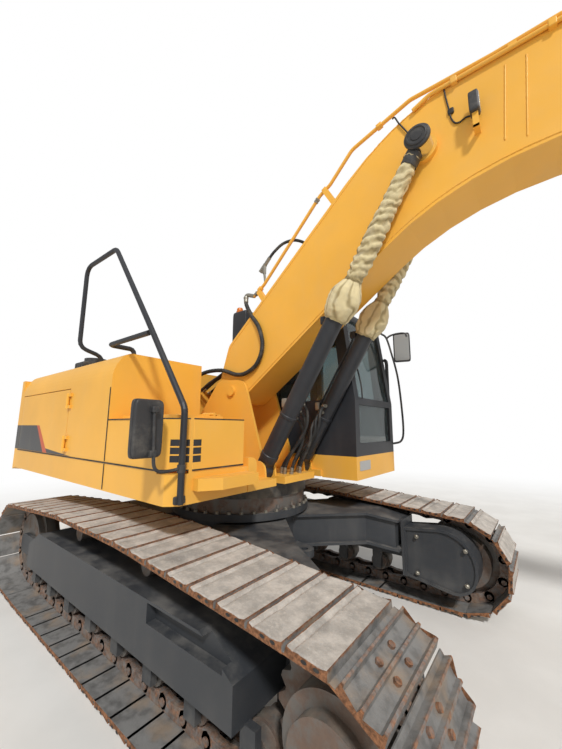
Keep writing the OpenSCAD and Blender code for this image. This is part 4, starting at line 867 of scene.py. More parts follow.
@dataclass
class Track:
    """One track: muddy triple-bar shoes on a chain of links, which stands for the plain CAD loop.

    link_top, plate and bar are heights above the pins. clean lists the shoes without mud.
    """

    side: float
    clean: tuple
    loop: ChainLoop = field(default_factory=ChainLoop)
    middle_y: float = 1.19
    half_w: float = 0.3
    link_top: float = 0.045
    plate: float = 0.057
    bar: float = 0.083
    end_high: float = 0.06
    end_mark: float = 0.45
    link_y: tuple = ((0.048, 0.068), (0.07, 0.09))
    pin_y: float = 0.098
    pin_r: float = 0.021
    hole_at: tuple = (-0.25, 0.02)
    hole_high: float = 0.066
    hole_half: tuple = (0.013, 0.007)
    bolt_at: tuple = (-0.19, 0.2)
    bolt_y: float = 0.062
    bolt_r: float = 0.016
    bolt_high: float = 0.013

    @property
    def body_name(self) -> str:
        """Name of the CAD node that this track stands for."""
        return f"track_{side_name(self.side)}"

    def section(self, muddy: bool) -> np.ndarray:
        """Outer line of a shoe along its travel.

        Args:
            muddy: mud fills the plate between its bars.

        Returns:
            Rows of share of the pitch, height above the pins and mark.
        """
        p, b, t = self.plate, self.bar, self.link_top
        lip = ((0.475, (p + t) / 2, 0), (0.60, (p + t) / 2, 0), (0.605, t, 0))
        if muddy:
            rows = ((-0.445, b - 0.001, 0.3), (-0.43, b, 1), (-0.30, b, 1), (-0.2, b, 1), (-0.1, b, 1),
                    (0.0, b, 1), (0.1, b, 1), (0.18, b, 1), (0.24, b - 0.002, 1), (0.275, b - 0.004, 1),
                    (0.295, b - 0.009, 0.75), (0.315, b - 0.009, 0.75), (0.335, b - 0.004, 1),
                    (0.37, b - 0.001, 1), (0.40, b, 1), (0.43, b, 1), (0.445, b - 0.001, 0.3))
        else:
            rows = ((-0.43, b, 0.2), (-0.37, b, 0.2), (-0.33, p + 0.003, 0), (-0.25, p, 0), (-0.12, p, 0),
                    (-0.06, p + 0.002, 0), (-0.025, b - 0.006, 0.2), (0.035, b - 0.006, 0.2),
                    (0.07, p + 0.002, 0), (0.15, p, 0), (0.25, p, 0), (0.36, p + 0.002, 0), (0.405, b, 0.2),
                    (0.455, b, 0.2))
        return np.array([(-0.485, t, 0), (-0.47, p, 0), *rows, (0.47, p, 0), *lip])

    def frame_of(self, index: np.ndarray) -> tuple:
        """Finds where shoes lie on the chain.

        Args:
            index: which shoes.

        Returns:
            Their middles, directions along the chain and outward directions, as [x, z] rows.
        """
        a, b = self.loop.at(index * self.loop.pitch), self.loop.at((index + 1) * self.loop.pitch)
        along = unit(b - a)
        return (a + b) / 2, along, np.stack([along[:, 1], -along[:, 0]], axis=-1)

    def lay(self, line: np.ndarray, index: np.ndarray) -> np.ndarray:
        """Lays a side-view line on shoes: place = middle + first column * along + second column * outward.

        Args:
            line: shape (m, 2).
            index: which shoes.

        Returns:
            Places [x, z], shape (shoes, m, 2).
        """
        middle, along, out = (part[:, None] for part in self.frame_of(index))
        return middle + line[:, :1] * along + line[:, 1:] * out

    def place(self, flat: np.ndarray, y: np.ndarray | float) -> np.ndarray:
        """Puts side-view places in the row frame.

        Args:
            flat: places [x, z], shape (..., 2).
            y: how far they are from the track's middle.

        Returns:
            Points, shape (..., 3).
        """
        y = np.broadcast_to(self.side * self.middle_y + y, flat.shape[:-1])
        return np.stack([flat[..., 0] + SHIFT, y, flat[..., 1]], axis=-1)

    def shoes(self, index: np.ndarray, muddy: bool, surface: Surface) -> None:
        """Adds shoes: the section carried across the width, sunk by lumps of mud and ragged at the ends.

        Args:
            index: which shoes.
            muddy: how they are filled.
            surface: where they go.
        """
        rows = self.section(muddy)
        across = np.concatenate([[-1, -1, -0.985, -0.96], np.linspace(-0.92, 0.92, 19), [0.96, 0.985, 1, 1]])
        reach = np.abs(across)[None, :, None]
        middle, along, out = self.frame_of(index)
        shape = (len(index), len(across), len(rows))
        share = np.broadcast_to(rows[:, 0], shape) * self.loop.pitch
        height = np.broadcast_to(rows[:, 1], shape).copy()
        y = np.broadcast_to(across[None, :, None] * self.half_w, shape).copy()
        if muddy:
            seed = np.stack([share, y, np.broadcast_to(index[:, None, None] * 0.37, shape)], axis=-1)
            on_mud = np.broadcast_to(rows[:, 2] > 0.6, shape)
            sunk = 0.0025 + 0.0045 * (lumps(seed, 0.06, 3 + int(self.side)) + 0.6).clip(0)
            height -= np.where(on_mud, sunk, 0)
            worn = 0.004 + 0.006 * (lumps(seed, 0.03, 9) + 0.7).clip(0)
            height -= np.where((reach > 0.97) & on_mud, worn, 0)
            ragged = 0.002 + 0.004 * (lumps(seed, 0.035, 21) + 0.7).clip(0)
            y -= np.sign(y) * np.where(reach > 0.99, ragged, 0)
        on_end = (reach > 0.972) & (rows[:, 2] > 0.05)
        mark = np.broadcast_to(np.where(on_end, self.end_mark, rows[:, 2]), shape)
        flat = middle[:, None, None] + share[..., None] * along[:, None, None]
        places = self.place(flat + height[..., None] * out[:, None, None], y)
        for k in range(len(index)):
            surface.grid(places[k], wrap_v=True, mark=mark[k].ravel())
            for row, flip in ((0, 1), (-1, -1)):
                centre = self.place(middle[k] + self.end_high * out[k], across[row] * (self.half_w - 0.001))
                fan = [[len(rows), j, (j + 1) % len(rows)][::flip] for j in range(len(rows))]
                surface.add(np.vstack([places[k][row], centre]), fan, self.end_mark)

    def links(self, surface: Surface) -> None:
        """Adds the chain: two waisted link plates for each shoe and side, and a pin across them.

        Args:
            surface: where it goes.
        """
        half = self.loop.pitch / 2
        t = np.linspace(-math.pi / 2, math.pi / 2, 5)
        cap = np.stack([half + 0.036 * np.cos(t), 0.043 * np.sin(t) - 0.004], axis=1)
        top, foot = [[0.03, 0.043], [-0.03, 0.043]], [[-0.03, -0.032], [0.03, -0.032]]
        index = np.arange(self.loop.shoe_count)
        plates = self.lay(np.concatenate([cap, top, cap[::-1] * [-1, 1], foot]), index)
        for faces_y in self.link_y:
            for side in SIDES:
                for flat in plates:
                    ring = np.stack([self.place(flat, side * y) for y in faces_y])
                    surface.grid(ring[::-1] if side > 0 else ring, wrap_v=True, caps=True, mark=0.2)
        for pin in self.lay(np.array([[-half, 0.0]]), index)[:, 0]:
            ends = [self.place(pin, y) for y in (-self.pin_y, self.pin_y)]
            surface.bar(*ends, self.pin_r, 10, mark=0.2)

    def holes(self, surface: Surface) -> None:
        """Adds painted shade for the two holes at each end of a muddy shoe: flat black ovals where the holes'
        insides lie in shade.

        Args:
            surface: where they go.
        """
        index = np.setdiff1d(np.arange(self.loop.shoe_count), self.clean)
        t = np.linspace(0, 2 * math.pi, 8, endpoint=False)
        oval = np.stack([np.cos(t), np.sin(t)], axis=1) * self.hole_half
        ovals = [self.lay(oval + [at * self.loop.pitch, self.hole_high], index) for at in self.hole_at]
        for k in range(len(index)):
            for end in SIDES:
                for flat in ovals:
                    surface.add(self.place(flat[k], end * self.half_w), [np.arange(8)[:: int(end)]])

    def bolts(self, surface: Surface) -> None:
        """Adds four hexagon bolt heads on each clean shoe's plate.

        Args:
            surface: where they go.
        """
        index = np.array(self.clean)
        heights = (self.plate, self.plate + self.bolt_high)
        lines = [np.array([(at * self.loop.pitch, z) for z in heights]) for at in self.bolt_at]
        stems = [self.lay(line, index) for line in lines]
        for k in range(len(index)):
            for stem in stems:
                for y in (self.bolt_y, -self.bolt_y):
                    surface.bar(*self.place(stem[k], y), self.bolt_r, 6, mark=0.25)

    def build(self) -> None:
        """Builds the shoes and chain as one piece, and the painted shade of the holes, flat black ovals, as
        another.
        """
        surface = Surface(f"{self.body_name}_shoes")
        self.shoes(np.setdiff1d(np.arange(self.loop.shoe_count), self.clean), True, surface)
        self.shoes(np.array(self.clean), False, surface)
        self.links(surface)
        self.bolts(surface)
        piece = surface.build(SHOE, Body.UNDERCARRIAGE, Slot.TRACK, smooth=40)
        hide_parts(self.body_name)
        # Painted shade: flat black ovals stand for the shade inside the holes at the shoes' ends.
        painted_hole_shade = Surface(f"{self.body_name}_hollows")
        self.holes(painted_hole_shade)
        painted_hole_shade.build(RUBBER, Body.UNDERCARRIAGE, Slot.TRACK)


# Boom rams


@dataclass
class BoomRam:
    """One boom ram's line, from its foot pin to its eye, with places along it."""

    side: float
    foot: tuple = (0.540, 1.248)
    eye: tuple = (2.012, 3.664)
    offset_y: float = 0.290
    barrel_r: float = 0.075
    barrel_end: float = 1.620
    rod_r: float = 0.0425

    def __post_init__(self) -> None:
        """Works out the ends and the direction."""
        self.name = side_name(self.side)
        self.start = side_point(self.foot[0], self.side * self.offset_y, self.foot[1])
        self.end = side_point(self.eye[0], self.side * self.offset_y, self.eye[1])
        self.along = unit(self.end - self.start)

    def at(self, s: float) -> np.ndarray:
        """The place at a distance from the foot pin."""
        return self.start + s * self.along


@dataclass
class RamTrim:
    """Collars and pipe of a boom ram's barrel, the round cap on its upper pin's end, and the eye's sleeve.

    collars has each one's start and width, pipe rows of distance from the foot pin and height over the
    collars, cap and sleeve rows of radius and rise.
    """

    ram: BoomRam
    collars: tuple = ((0.130, 0.045), (0.535, 0.030), (1.560, 0.059))
    collar_rise: float = 0.005
    pipe: tuple = ((0.62, 0.030), (0.70, 0.016), (0.80, 0.014), (1.20, 0.014), (1.34, 0.014), (1.40, 0.030))
    pipe_r: float = 0.010
    pipe_in: float = 0.02
    cap: tuple = (
        (0.030, 0.0), (0.088, 0.0), (0.091, 0.006), (0.091, 0.018), (0.086, 0.024), (0.074, 0.026),
        (0.071, 0.034), (0.062, 0.036), (0.058, 0.030), (0.040, 0.029), (0.037, 0.034), (0.012, 0.035))
    cap_out: float = 0.0545
    sleeve: tuple = ((0.045, 0), (0.058, 0.001), (0.060, 0.006), (0.060, 0.094), (0.05, 0.10))
    sleeve_at: float = 2.655

    def build(self) -> None:
        """Builds the collars as turned rings with bevelled edges, the pipe between its ports, and the cap."""
        ram, r, rise = self.ram, self.ram.barrel_r, self.collar_rise
        barrel = Surface(f"ram_collars_{ram.name}")
        for start, width in self.collars:
            rows = ((r - 0.01, 0), (r, 0), (r + rise, rise), (r + rise, width - rise), (r, width),
                    (r - 0.01, width))
            barrel.lathe(ram.at(start), ram.along, rows, 40, ring=True)
        out = np.array([0.0, ram.side, 0.0])
        across = ram.side * unit(np.cross(ram.along, out))
        pipe = np.array([ram.at(s) + across * (r + high) - out * self.pipe_in for s, high in self.pipe])
        barrel.tube(pipe, self.pipe_r, 5, 10)
        barrel.superbox(pipe[-1], (0.030, 0.018, 0.034))
        barrel.build(BLACK, Body.BARRELS, Slot.CHARCOAL, smooth=30)
        port = Surface(f"ram_pipe_port_{ram.name}")
        port.superbox(pipe[0], (0.026, 0.020, 0.040))
        port.build(FITTING, Body.BARRELS, Slot.CHROME, smooth=30)
        cap = Surface(f"pin_cap_{ram.name}")
        cap.lathe(ram.end + out * self.cap_out, tuple(out), self.cap, 48)
        cap.lathe(ram.at(self.sleeve_at), ram.along, self.sleeve, 30)
        cap.build(PLASTIC, Body.RODS, Slot.PLASTIC, smooth=30)


@dataclass
class RodWrap:
    """Canvas tied round a boom ram's rod: a gathered ball over the gland, a tied neck, and a creased sleeve.

    profile has rows of distance from the foot pin and radius, and ties the distances of the strings. boom_y
    is how near the machine's middle the cloth may come, where the boom's side is.
    """

    ram: BoomRam
    start: float = 1.430
    end: float = 2.715
    overlap: float = 1.06
    flat: tuple = (0.52, 1.30)
    profile: tuple = (
        (1.430, 0.088), (1.445, 0.092), (1.465, 0.104), (1.50, 0.118), (1.55, 0.126), (1.60, 0.127),
        (1.65, 0.119), (1.69, 0.105), (1.725, 0.085), (1.755, 0.066), (1.78, 0.062), (1.82, 0.068),
        (1.87, 0.072), (1.95, 0.073), (2.10, 0.071), (2.30, 0.066), (2.50, 0.063), (2.62, 0.059),
        (2.66, 0.050), (2.69, 0.052), (2.715, 0.060))
    neck: float = 1.765
    ties: tuple = (1.438, 1.772, 2.665)
    pleat_depth: float = 0.010
    fold_depth: float = 0.0085
    crumple: float = 0.0035
    bulge: float = 0.016
    hem_wave: float = 0.010
    boom_y: float = 0.207
    keep: float = 0.30

    def build(self) -> bpy.types.Object:
        """Builds the cloth as an open wrap: radius = profile + pleats on the ball + folds on the sleeve.

        Returns:
            The cloth.
        """
        ram, side = self.ram, self.ram.side
        s = np.linspace(self.start, self.end, 210)
        grid_s, grid_t = np.meshgrid(s, 2 * math.pi * np.linspace(0, self.overlap, 84), indexing="ij")
        seed = np.stack([grid_s, 0.12 * np.cos(grid_t) + side, 0.12 * np.sin(grid_t)], axis=-1)
        rows = np.array(self.profile)
        radius = np.interp(grid_s, rows[:, 0], rows[:, 1])
        tied = sum(np.exp(-(((grid_s - tie) / 0.014) ** 2)) for tie in self.ties)
        on_ball = 1 / (1 + np.exp((grid_s - self.neck) / 0.018))
        # Upright pleats on the ball, and two crossing sets of folds on the sleeve, which calm down upwards.
        drift = lumps(seed, 0.15, 5)
        pleat = np.abs(np.sin(3.5 * grid_t + 3.0 * drift + 5.0 * (grid_s - 1.7))) ** 0.8
        slant = np.sin(grid_s * 92 + 2.0 * grid_t * side + 5.5 * drift)
        cross = np.sin(grid_s * 61 - 2.0 * grid_t + 5.0 * lumps(seed, 0.12, 11))
        fold = 0.6 * np.sign(slant) * np.abs(slant) ** 0.8 + 0.4 * cross
        calm = 0.55 + 0.45 / (1 + np.exp((grid_s - 2.35) / 0.06))
        depth = on_ball * self.pleat_depth * (pleat - 0.5) + (1 - on_ball) * calm * self.fold_depth * fold
        radius = radius + depth * (1 - 0.6 * tied) + self.crumple * lumps(seed, 0.035, 7)
        radius = radius + self.bulge * on_ball * lumps(seed, 0.10, 31)
        # The cloth lies outside what it covers, and its overlap outside itself.
        least = np.where(grid_s < ram.barrel_end, ram.barrel_r + 0.006, ram.rod_r + 0.004)
        radius = np.maximum(radius, least) + 0.004 * grid_t / (2 * math.pi)
        hem = np.exp(-((grid_s - self.start) / 0.012) ** 2) + np.exp(-((self.end - grid_s) / 0.012) ** 2)
        ragged = self.hem_wave * lumps(seed * [0, 1, 1], 0.05, 17) * hem
        # Painted shade: the mark is low in the creases between pleats and folds and where the ties pinch, so
        # the cloth is painted darker there.
        shadow = (0.5 + 0.5 * (on_ball * (2 * pleat - 1) + (1 - on_ball) * fold)) * (1 - 0.7 * tied)
        cloth = Surface(f"rod_wrap_{ram.name}")
        cloth.sweep(ram.start + s[:, None] * ram.along, radius, shadow[:, ::-1].ravel(), self.overlap)
        cloth.points[0] = cloth.points[0] + (ragged[:, ::-1, None] * ram.along).reshape(-1, 3)
        cloth.points[0][:, 1] = side * np.maximum(side * cloth.points[0][:, 1], self.boom_y)
        piece = cloth.build(CANVAS, Body.RODS, Slot.CLOTH, smooth=180)
        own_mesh(piece)
        return piece

    def strings(self) -> None:
        """Adds the string at the upper ties: two turns round the cloth, each a turned ring."""
        string = Surface(f"wrap_ties_{self.ram.name}")
        rows = np.array(self.profile)
        for tie in self.ties[1:]:
            for shift in (-0.004, 0.004):
                r = np.interp(tie, rows[:, 0], rows[:, 1]) + 0.004
                turn = ((r - 0.004, -0.003), (r + 0.001, -0.0025), (r + 0.003, 0), (r + 0.001, 0.0025),
                        (r - 0.004, 0.003))
                # The mark 0.1 gives the strings the cloth's painted crease shade colour.
                string.lathe(self.ram.at(tie + shift), self.ram.along, turn, 40, mark=0.1, ring=True)
        string.build(CANVAS, Body.RODS, Slot.CLOTH, smooth=60)


# Hoses, boom and house trim


@dataclass
class Hose:
    """A hydraulic hose: a tube on a smooth curve, ribbed if a wire guard winds round it, crimped at its ends.

    bodies are the two that it joins, and crimp is the fittings' length.
    """

    name: str
    points: tuple
    bodies: tuple
    diameter: float
    guard: bool = False
    crimp: float = 0.060
    guard_rise: float = 0.0026
    guard_pitch: float = 0.022
    sides: int = 14

    def fitting(self, number: int, place: np.ndarray, ahead: np.ndarray, body: Body) -> bpy.types.Object:
        """Builds the crimped fitting at one end as a turned profile.

        Args:
            number: 0 at the start, 1 at the end.
            place: where the hose ends.
            ahead: from there into the hose.
            body: what it rides on.

        Returns:
            The fitting.
        """
        surface = Surface(f"{self.name}_fitting_{number}")
        r = self.diameter / 2
        rows = ((r * 0.8, 0), (r * 1.35, 0.001), (r * 1.35, 0.018), (r * 1.12, 0.020), (r * 1.22, 0.024),
                (r * 1.22, self.crimp), (r * 1.05, self.crimp + 0.002), (r * 0.9, self.crimp + 0.002))
        surface.lathe(place, tuple(ahead), rows, 12)
        return surface.build(FITTING, body, Slot.CHROME, smooth=30)

    def build(self) -> None:
        """Builds the tube, which rides on no body, and its fittings, one riding on each of its two bodies."""
        curve = smooth_path(side_points(self.points), steps=14)
        even, path = evenly(curve, 0.006 if self.guard else 0.012, 24)
        turn = 2 * math.pi * np.arange(self.sides) / self.sides
        rib = self.guard_rise * np.cos(2 * math.pi * even[:, None] / self.guard_pitch - turn)
        tube = Surface(self.name)
        tube.sweep(path, self.diameter / 2 + (rib if self.guard else 0 * rib))
        piece = tube.build(RUBBER, None, Slot.PLASTIC, smooth=50)
        first, last = self.bodies
        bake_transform(piece)
        ends = [self.fitting(0, path[0], path[2] - path[0], first),
                self.fitting(1, path[-1], path[-3] - path[-1], last)]


@dataclass
class BoomHoses:
    """Hoses from the house to the boom's pipes, past the foot pin, and the small branch hose over the boom.

    rear has rows of x, share of the hose's own y, and z.
    """

    right: tuple = (
        (0.161, -0.165, 2.990), (0.177, -0.172, 2.900), (0.283, -0.200, 2.748), (0.407, -0.224, 2.595),
        (0.461, -0.228, 2.408), (0.403, -0.230, 2.244), (0.276, -0.232, 2.161), (0.127, -0.235, 2.148),
        (-0.100, -0.240, 2.215), (-0.33, -0.262, 2.215), (-0.50, -0.280, 2.160), (-0.640, -0.290, 2.080))
    rear_y: tuple = (-0.120, -0.040, 0.040, 0.120)
    rear: tuple = ((-0.640, 1.0, 2.02), (-0.56, 1.0, 2.055), (-0.44, 0.96, 2.12), (-0.32, 0.9, 2.17),
                   (-0.21, 0.9, 2.22), (-0.118, 0.9, 2.262))
    rear_drop: float = 0.03
    branch: tuple = (
        (0.455, -0.130, 3.357), (0.514, -0.120, 3.415), (0.605, -0.090, 3.484), (0.720, -0.050, 3.497),
        (0.825, -0.010, 3.440), (0.880, 0.020, 3.350), (0.905, 0.040, 3.290))
    branch_d: float = 0.030

    def build(self) -> None:
        """Builds the guarded side hoses, the row behind the boom's foot, and the branch."""
        across = (Body.HOUSE, Body.BOOM)
        for side in SIDES:
            points = tuple((x, -side * y, z) for x, y, z in self.right)
            Hose(f"side_hose_{side_name(side)}", points[::-1], across, 0.040, True).build()
        for k, y in enumerate(self.rear_y):
            drop = self.rear_drop * (k % 2)
            points = tuple((x, share * y, z + drop) for x, share, z in self.rear)
            Hose(f"rear_hose_{k}", points, across, 0.034).build()
        branch = Surface("branch_hose")
        path = branch.tube(side_points(self.branch), self.branch_d / 2, 10)
        hose = branch.build(RUBBER, Body.BOOM, Slot.PLASTIC, smooth=50)


@dataclass
class RamHoses:
    """Hoses between the two boom rams: from a port on each barrel's inner side down to the deck.

    ends has how far each hose's port is from the middle one along the ram, and where it meets the deck.
    """

    ram: BoomRam
    port: float = 0.66
    ends: tuple = ((0.02, 0.640), (-0.05, 0.590), (-0.12, 0.690))
    deck_z: float = 1.203
    inner_y: tuple = (0.100, 0.082, 0.064)

    def build(self) -> None:
        """Builds three hoses a side: a quarter circle out of the barrel and down, then a cosine bow."""
        side = self.ram.side
        for k, (shift, deck_x) in enumerate(self.ends):
            x, _, z = self.ram.at(self.port + shift) - side_point(0, 0, 0)
            inner = self.inner_y[k]
            bend = self.ram.offset_y - self.ram.barrel_r + 0.004 - inner
            turn = np.linspace(0, math.pi / 2, 7)[:, None]
            y = side * (inner + bend * (1 - np.sin(turn)))
            top = np.hstack([x + 0 * turn, y, z - bend * (1 - np.cos(turn))])
            fall = np.linspace(0, 1, 9)[1:, None]
            low = top[-1, 2]
            bow = x + (deck_x - x) * (1 - np.cos(math.pi * fall)) / 2
            down = np.hstack([bow, side * inner + 0 * fall, low + (self.deck_z - low) * fall])
            points = tuple(map(tuple, np.vstack([top, down])[::-1]))
            Hose(f"ram_hose_{self.ram.name}_{k}", points, (Body.HOUSE, Body.BARRELS), 0.028).build()


@dataclass
class BoomTrim:
    """What is fixed to the boom: side tubes and clips, pipe clamps and nuts, weld beads and the lamp.

    outline and belly have rows of x, z and the corner's radius. clamps and nuts have the x and z of their
    middles on the pipes, and the pipe's slope there in degrees.
    """

    half_w: float = 0.200
    tube_r: float = 0.015
    tube_bend: float = 0.12
    line: tuple = ((1.960, 4.032), (2.085, 4.085), (2.850, 4.085), (3.700, 3.912), (4.700, 3.705))
    clip_x: tuple = (2.25, 2.80, 3.60, 4.40)
    clip_half: tuple = (0.022, 0.021, 0.026)
    pipe_y: float = 0.150
    clamps: tuple = ((0.352, 3.034, 34.5), (1.139, 3.792, 29.0), (1.675, 4.133, 17.0))
    clamp: tuple = ((0.014, 0), (0.025, 0.001), (0.027, 0.004), (0.027, 0.044), (0.025, 0.047),
                    (0.014, 0.048))
    nuts: tuple = ((0.300, 2.998, 34.5), (1.050, 3.726, 45.0))
    nut: tuple = ((0.014, 0), (0.022, 0.001), (0.022, 0.016), (0.018, 0.018), (0.018, 0.022), (0.023, 0.023),
                  (0.023, 0.040), (0.014, 0.041))
    elbow: tuple = ((0.272, 0.150, 2.979), (0.225, 0.151, 2.997), (0.185, 0.155, 3.010),
                    (0.164, 0.160, 3.004), (0.160, 0.165, 2.975))
    branch_fittings: tuple = (
        ((0.420, -0.150, 3.087), (0.392, -0.138, 3.215), 0.014),
        ((0.330, -0.130, 3.236), (0.400, -0.130, 3.303), 0.022),
        ((0.392, -0.138, 3.200), (0.388, -0.130, 3.292), 0.020),
        ((0.395, -0.130, 3.298), (0.460, -0.130, 3.362), 0.019))
    outline: tuple = ((-0.155, 2.135, 0.15), (-0.040, 2.480, 0.12), (1.852, 4.125, 1.67), (2.900, 4.120, 0.9),
                      (5.318, 3.612, 0.20))
    belly: tuple = ((0.120, 1.860, 0.1), (2.163, 3.339, 1.8), (5.278, 3.300, 0.4))
    cross_welds: tuple = (((2.549, 4.000), (2.503, 3.460)), ((2.663, 3.990), (2.616, 3.420)))
    bead_in: float = 0.026
    bead_r: float = 0.0055
    bead_wave: float = 0.0012
    lamp_at: tuple = (2.362, -0.270, 3.768)
    lamp_half: tuple = (0.030, 0.042, 0.075)
    lens_at: tuple = (2.388, -0.270, 3.768)
    lens_half: tuple = (0.008, 0.034, 0.062)
    bracket_x: tuple = (2.345, 2.381)
    bracket_z: tuple = (3.590, 3.602, 3.700)
    bracket_y: tuple = (-0.285, -0.277)
    cable_y: float = -0.207
    cable: tuple = ((2.182, 4.086), (2.190, 3.993), (2.204, 3.883), (2.212, 3.811), (2.234, 3.757),
                    (2.265, 3.745), (2.303, 3.757), (2.336, 3.747))
    cable_end: tuple = (2.350, -0.245, 3.720)
    cable_clip: tuple = (2.214, -0.206, 3.866)
    feed: tuple = ((1.800, -0.196, 4.085), (1.822, -0.210, 4.070), (1.850, -0.212, 4.000),
                   (1.890, -0.212, 3.920), (1.922, -0.212, 3.855))

    def rounded(self, rows: tuple, inset: float) -> np.ndarray:
        """Rounds a line's inner corners by arcs of the given radii, then moves it to its right by inset.

        Args:
            rows: points x, z and corner radius.
            inset: how far it is moved.

        Returns:
            Points x, z.
        """
        p = np.array(rows)[:, :2]
        out = [p[:1]]
        for k in range(1, len(p) - 1):
            back, ahead = p[k - 1] - p[k], p[k + 1] - p[k]
            a, b = unit(back), unit(ahead)
            half = math.acos(float(np.clip(a @ b, -1, 1))) / 2
            most = 0.48 * min(np.linalg.norm(ahead), np.linalg.norm(back))
            reach = min(rows[k][2] / math.tan(half), most)
            t = np.linspace(0, 1, 9)[:, None]
            start, end = p[k] + reach * a, p[k] + reach * b
            out.append((1 - t) ** 2 * start + 2 * t * (1 - t) * p[k] + t**2 * end)
        line = np.concatenate([*out, p[-1:]])
        along = unit(np.gradient(line, axis=0))
        return line + inset * np.stack([along[:, 1], -along[:, 0]], axis=1)

    def side_line(self, line: np.ndarray, y: float) -> np.ndarray:
        """Puts a side-view line at a distance from the middle."""
        return np.stack([line[:, 0] + SHIFT, np.full(len(line), y), line[:, 1]], axis=1)

    def welds(self) -> None:
        """Adds the beads along the plates' edges and across the side: low round cords with small ripples."""
        beads = Surface("boom_welds")
        edges = [self.rounded(self.outline, self.bead_in), self.rounded(self.belly, -self.bead_in)]
        for side in SIDES:
            for line in (*edges, *(np.array(weld) for weld in self.cross_welds)):
                even, fine = evenly(line, 0.02, 8)
                ripple = self.bead_r + self.bead_wave * np.cos(even * 170.0)
                beads.sweep(self.side_line(fine, side * self.half_w), np.repeat(ripple[:, None], 8, axis=1))
        beads.build(BOOM_YELLOW, Body.BOOM, Slot.YELLOW, smooth=60)

    def on_pipe(self, surface: Surface, rows: tuple, profile: tuple, back: float, side: float) -> None:
        """Adds hexagons round an upper pipe, turned from a profile along the pipe.

        Args:
            surface: where they go.
            rows: x and z of their middles, and the pipe's slope in degrees.
            profile: rows of radius and rise.
            back: how far before its middle each one starts.
            side: which pipe.
        """
        for x, z, lean in rows:
            way = np.array([math.cos(math.radians(lean)), 0.0, math.sin(math.radians(lean))])
            surface.lathe(side_point(x, side * self.pipe_y, z) - back * way, tuple(way), profile, 6)

    def tubes(self) -> None:
        """Adds the low tube on each side with its clips, and the clamps and nuts on the upper pipes."""
        steel = Surface("boom_side_tubes")
        nuts = Surface("pipe_nuts")
        line = self.rounded(tuple((x, z, self.tube_bend) for x, z in self.line), 0.0)
        for side in SIDES:
            path = self.side_line(line, side * (self.half_w + self.tube_r + 0.003))
            steel.sweep(path, np.full((len(line), 14), self.tube_r))
            for x in self.clip_x:
                z = float(np.interp(x, line[:, 0], line[:, 1]))
                steel.superbox(side_point(x, side * (self.half_w + 0.016), z), self.clip_half, 0.25)
            self.on_pipe(steel, self.clamps, self.clamp, 0.024, side)
            self.on_pipe(nuts, self.nuts, self.nut, 0.02, side)
            nuts.tube(side_points([(x, side * y, z) for x, y, z in self.elbow]), 0.021, 6, 14)
        for start, end, radius in self.branch_fittings:
            nuts.bar(side_point(*start), side_point(*end), radius, 6)
        steel.build(BOOM_YELLOW, Body.BOOM, Slot.YELLOW, smooth=40)
        nuts.build(FITTING, Body.BOOM, Slot.CHROME, smooth=40)

    def lamp(self) -> None:
        """Adds the work lamp: a rounded black head on a bent yellow bracket, its lens, cable and clip."""
        head = Surface("boom_lamp_head")
        head.superbox(side_point(*self.lamp_at), self.lamp_half, 0.25)
        piece = head.build(PLASTIC, Body.BOOM, Slot.PLASTIC, smooth=35)
        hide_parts("boom_lamp")
        lens = Surface("boom_lamp_lens")
        lens.superbox(side_point(*self.lens_at), self.lens_half, 0.25)
        lens.build(LENS, Body.BOOM, Slot.GLASS, smooth=35)
        bracket = Surface("boom_lamp_bracket")
        (rear, front), (low, knee, top), (outer, inner) = self.bracket_x, self.bracket_z, self.bracket_y
        bracket.block(side_point(rear, outer, low), side_point(front, -self.half_w + 0.004, knee))
        bracket.block(side_point(rear, outer, low), side_point(front, inner, top))
        bracket.build(BOOM_YELLOW, Body.BOOM, Slot.YELLOW)
        wire = Surface("boom_lamp_cable")
        points = [(x, self.cable_y, z) for x, z in self.cable]
        wire.tube(side_points([*points, self.cable_end]), 0.0055, 6, 10)
        wire.superbox(side_point(*self.cable_clip), (0.020, 0.010, 0.022), 0.4)
        wire.tube(side_points(self.feed), 0.006, 6, 8)
        wire.build(RUBBER, Body.BOOM, Slot.PLASTIC, smooth=60)

    def build(self) -> None:
        """Builds all the boom's trim."""
        self.welds()
        self.tubes()
        self.lamp()


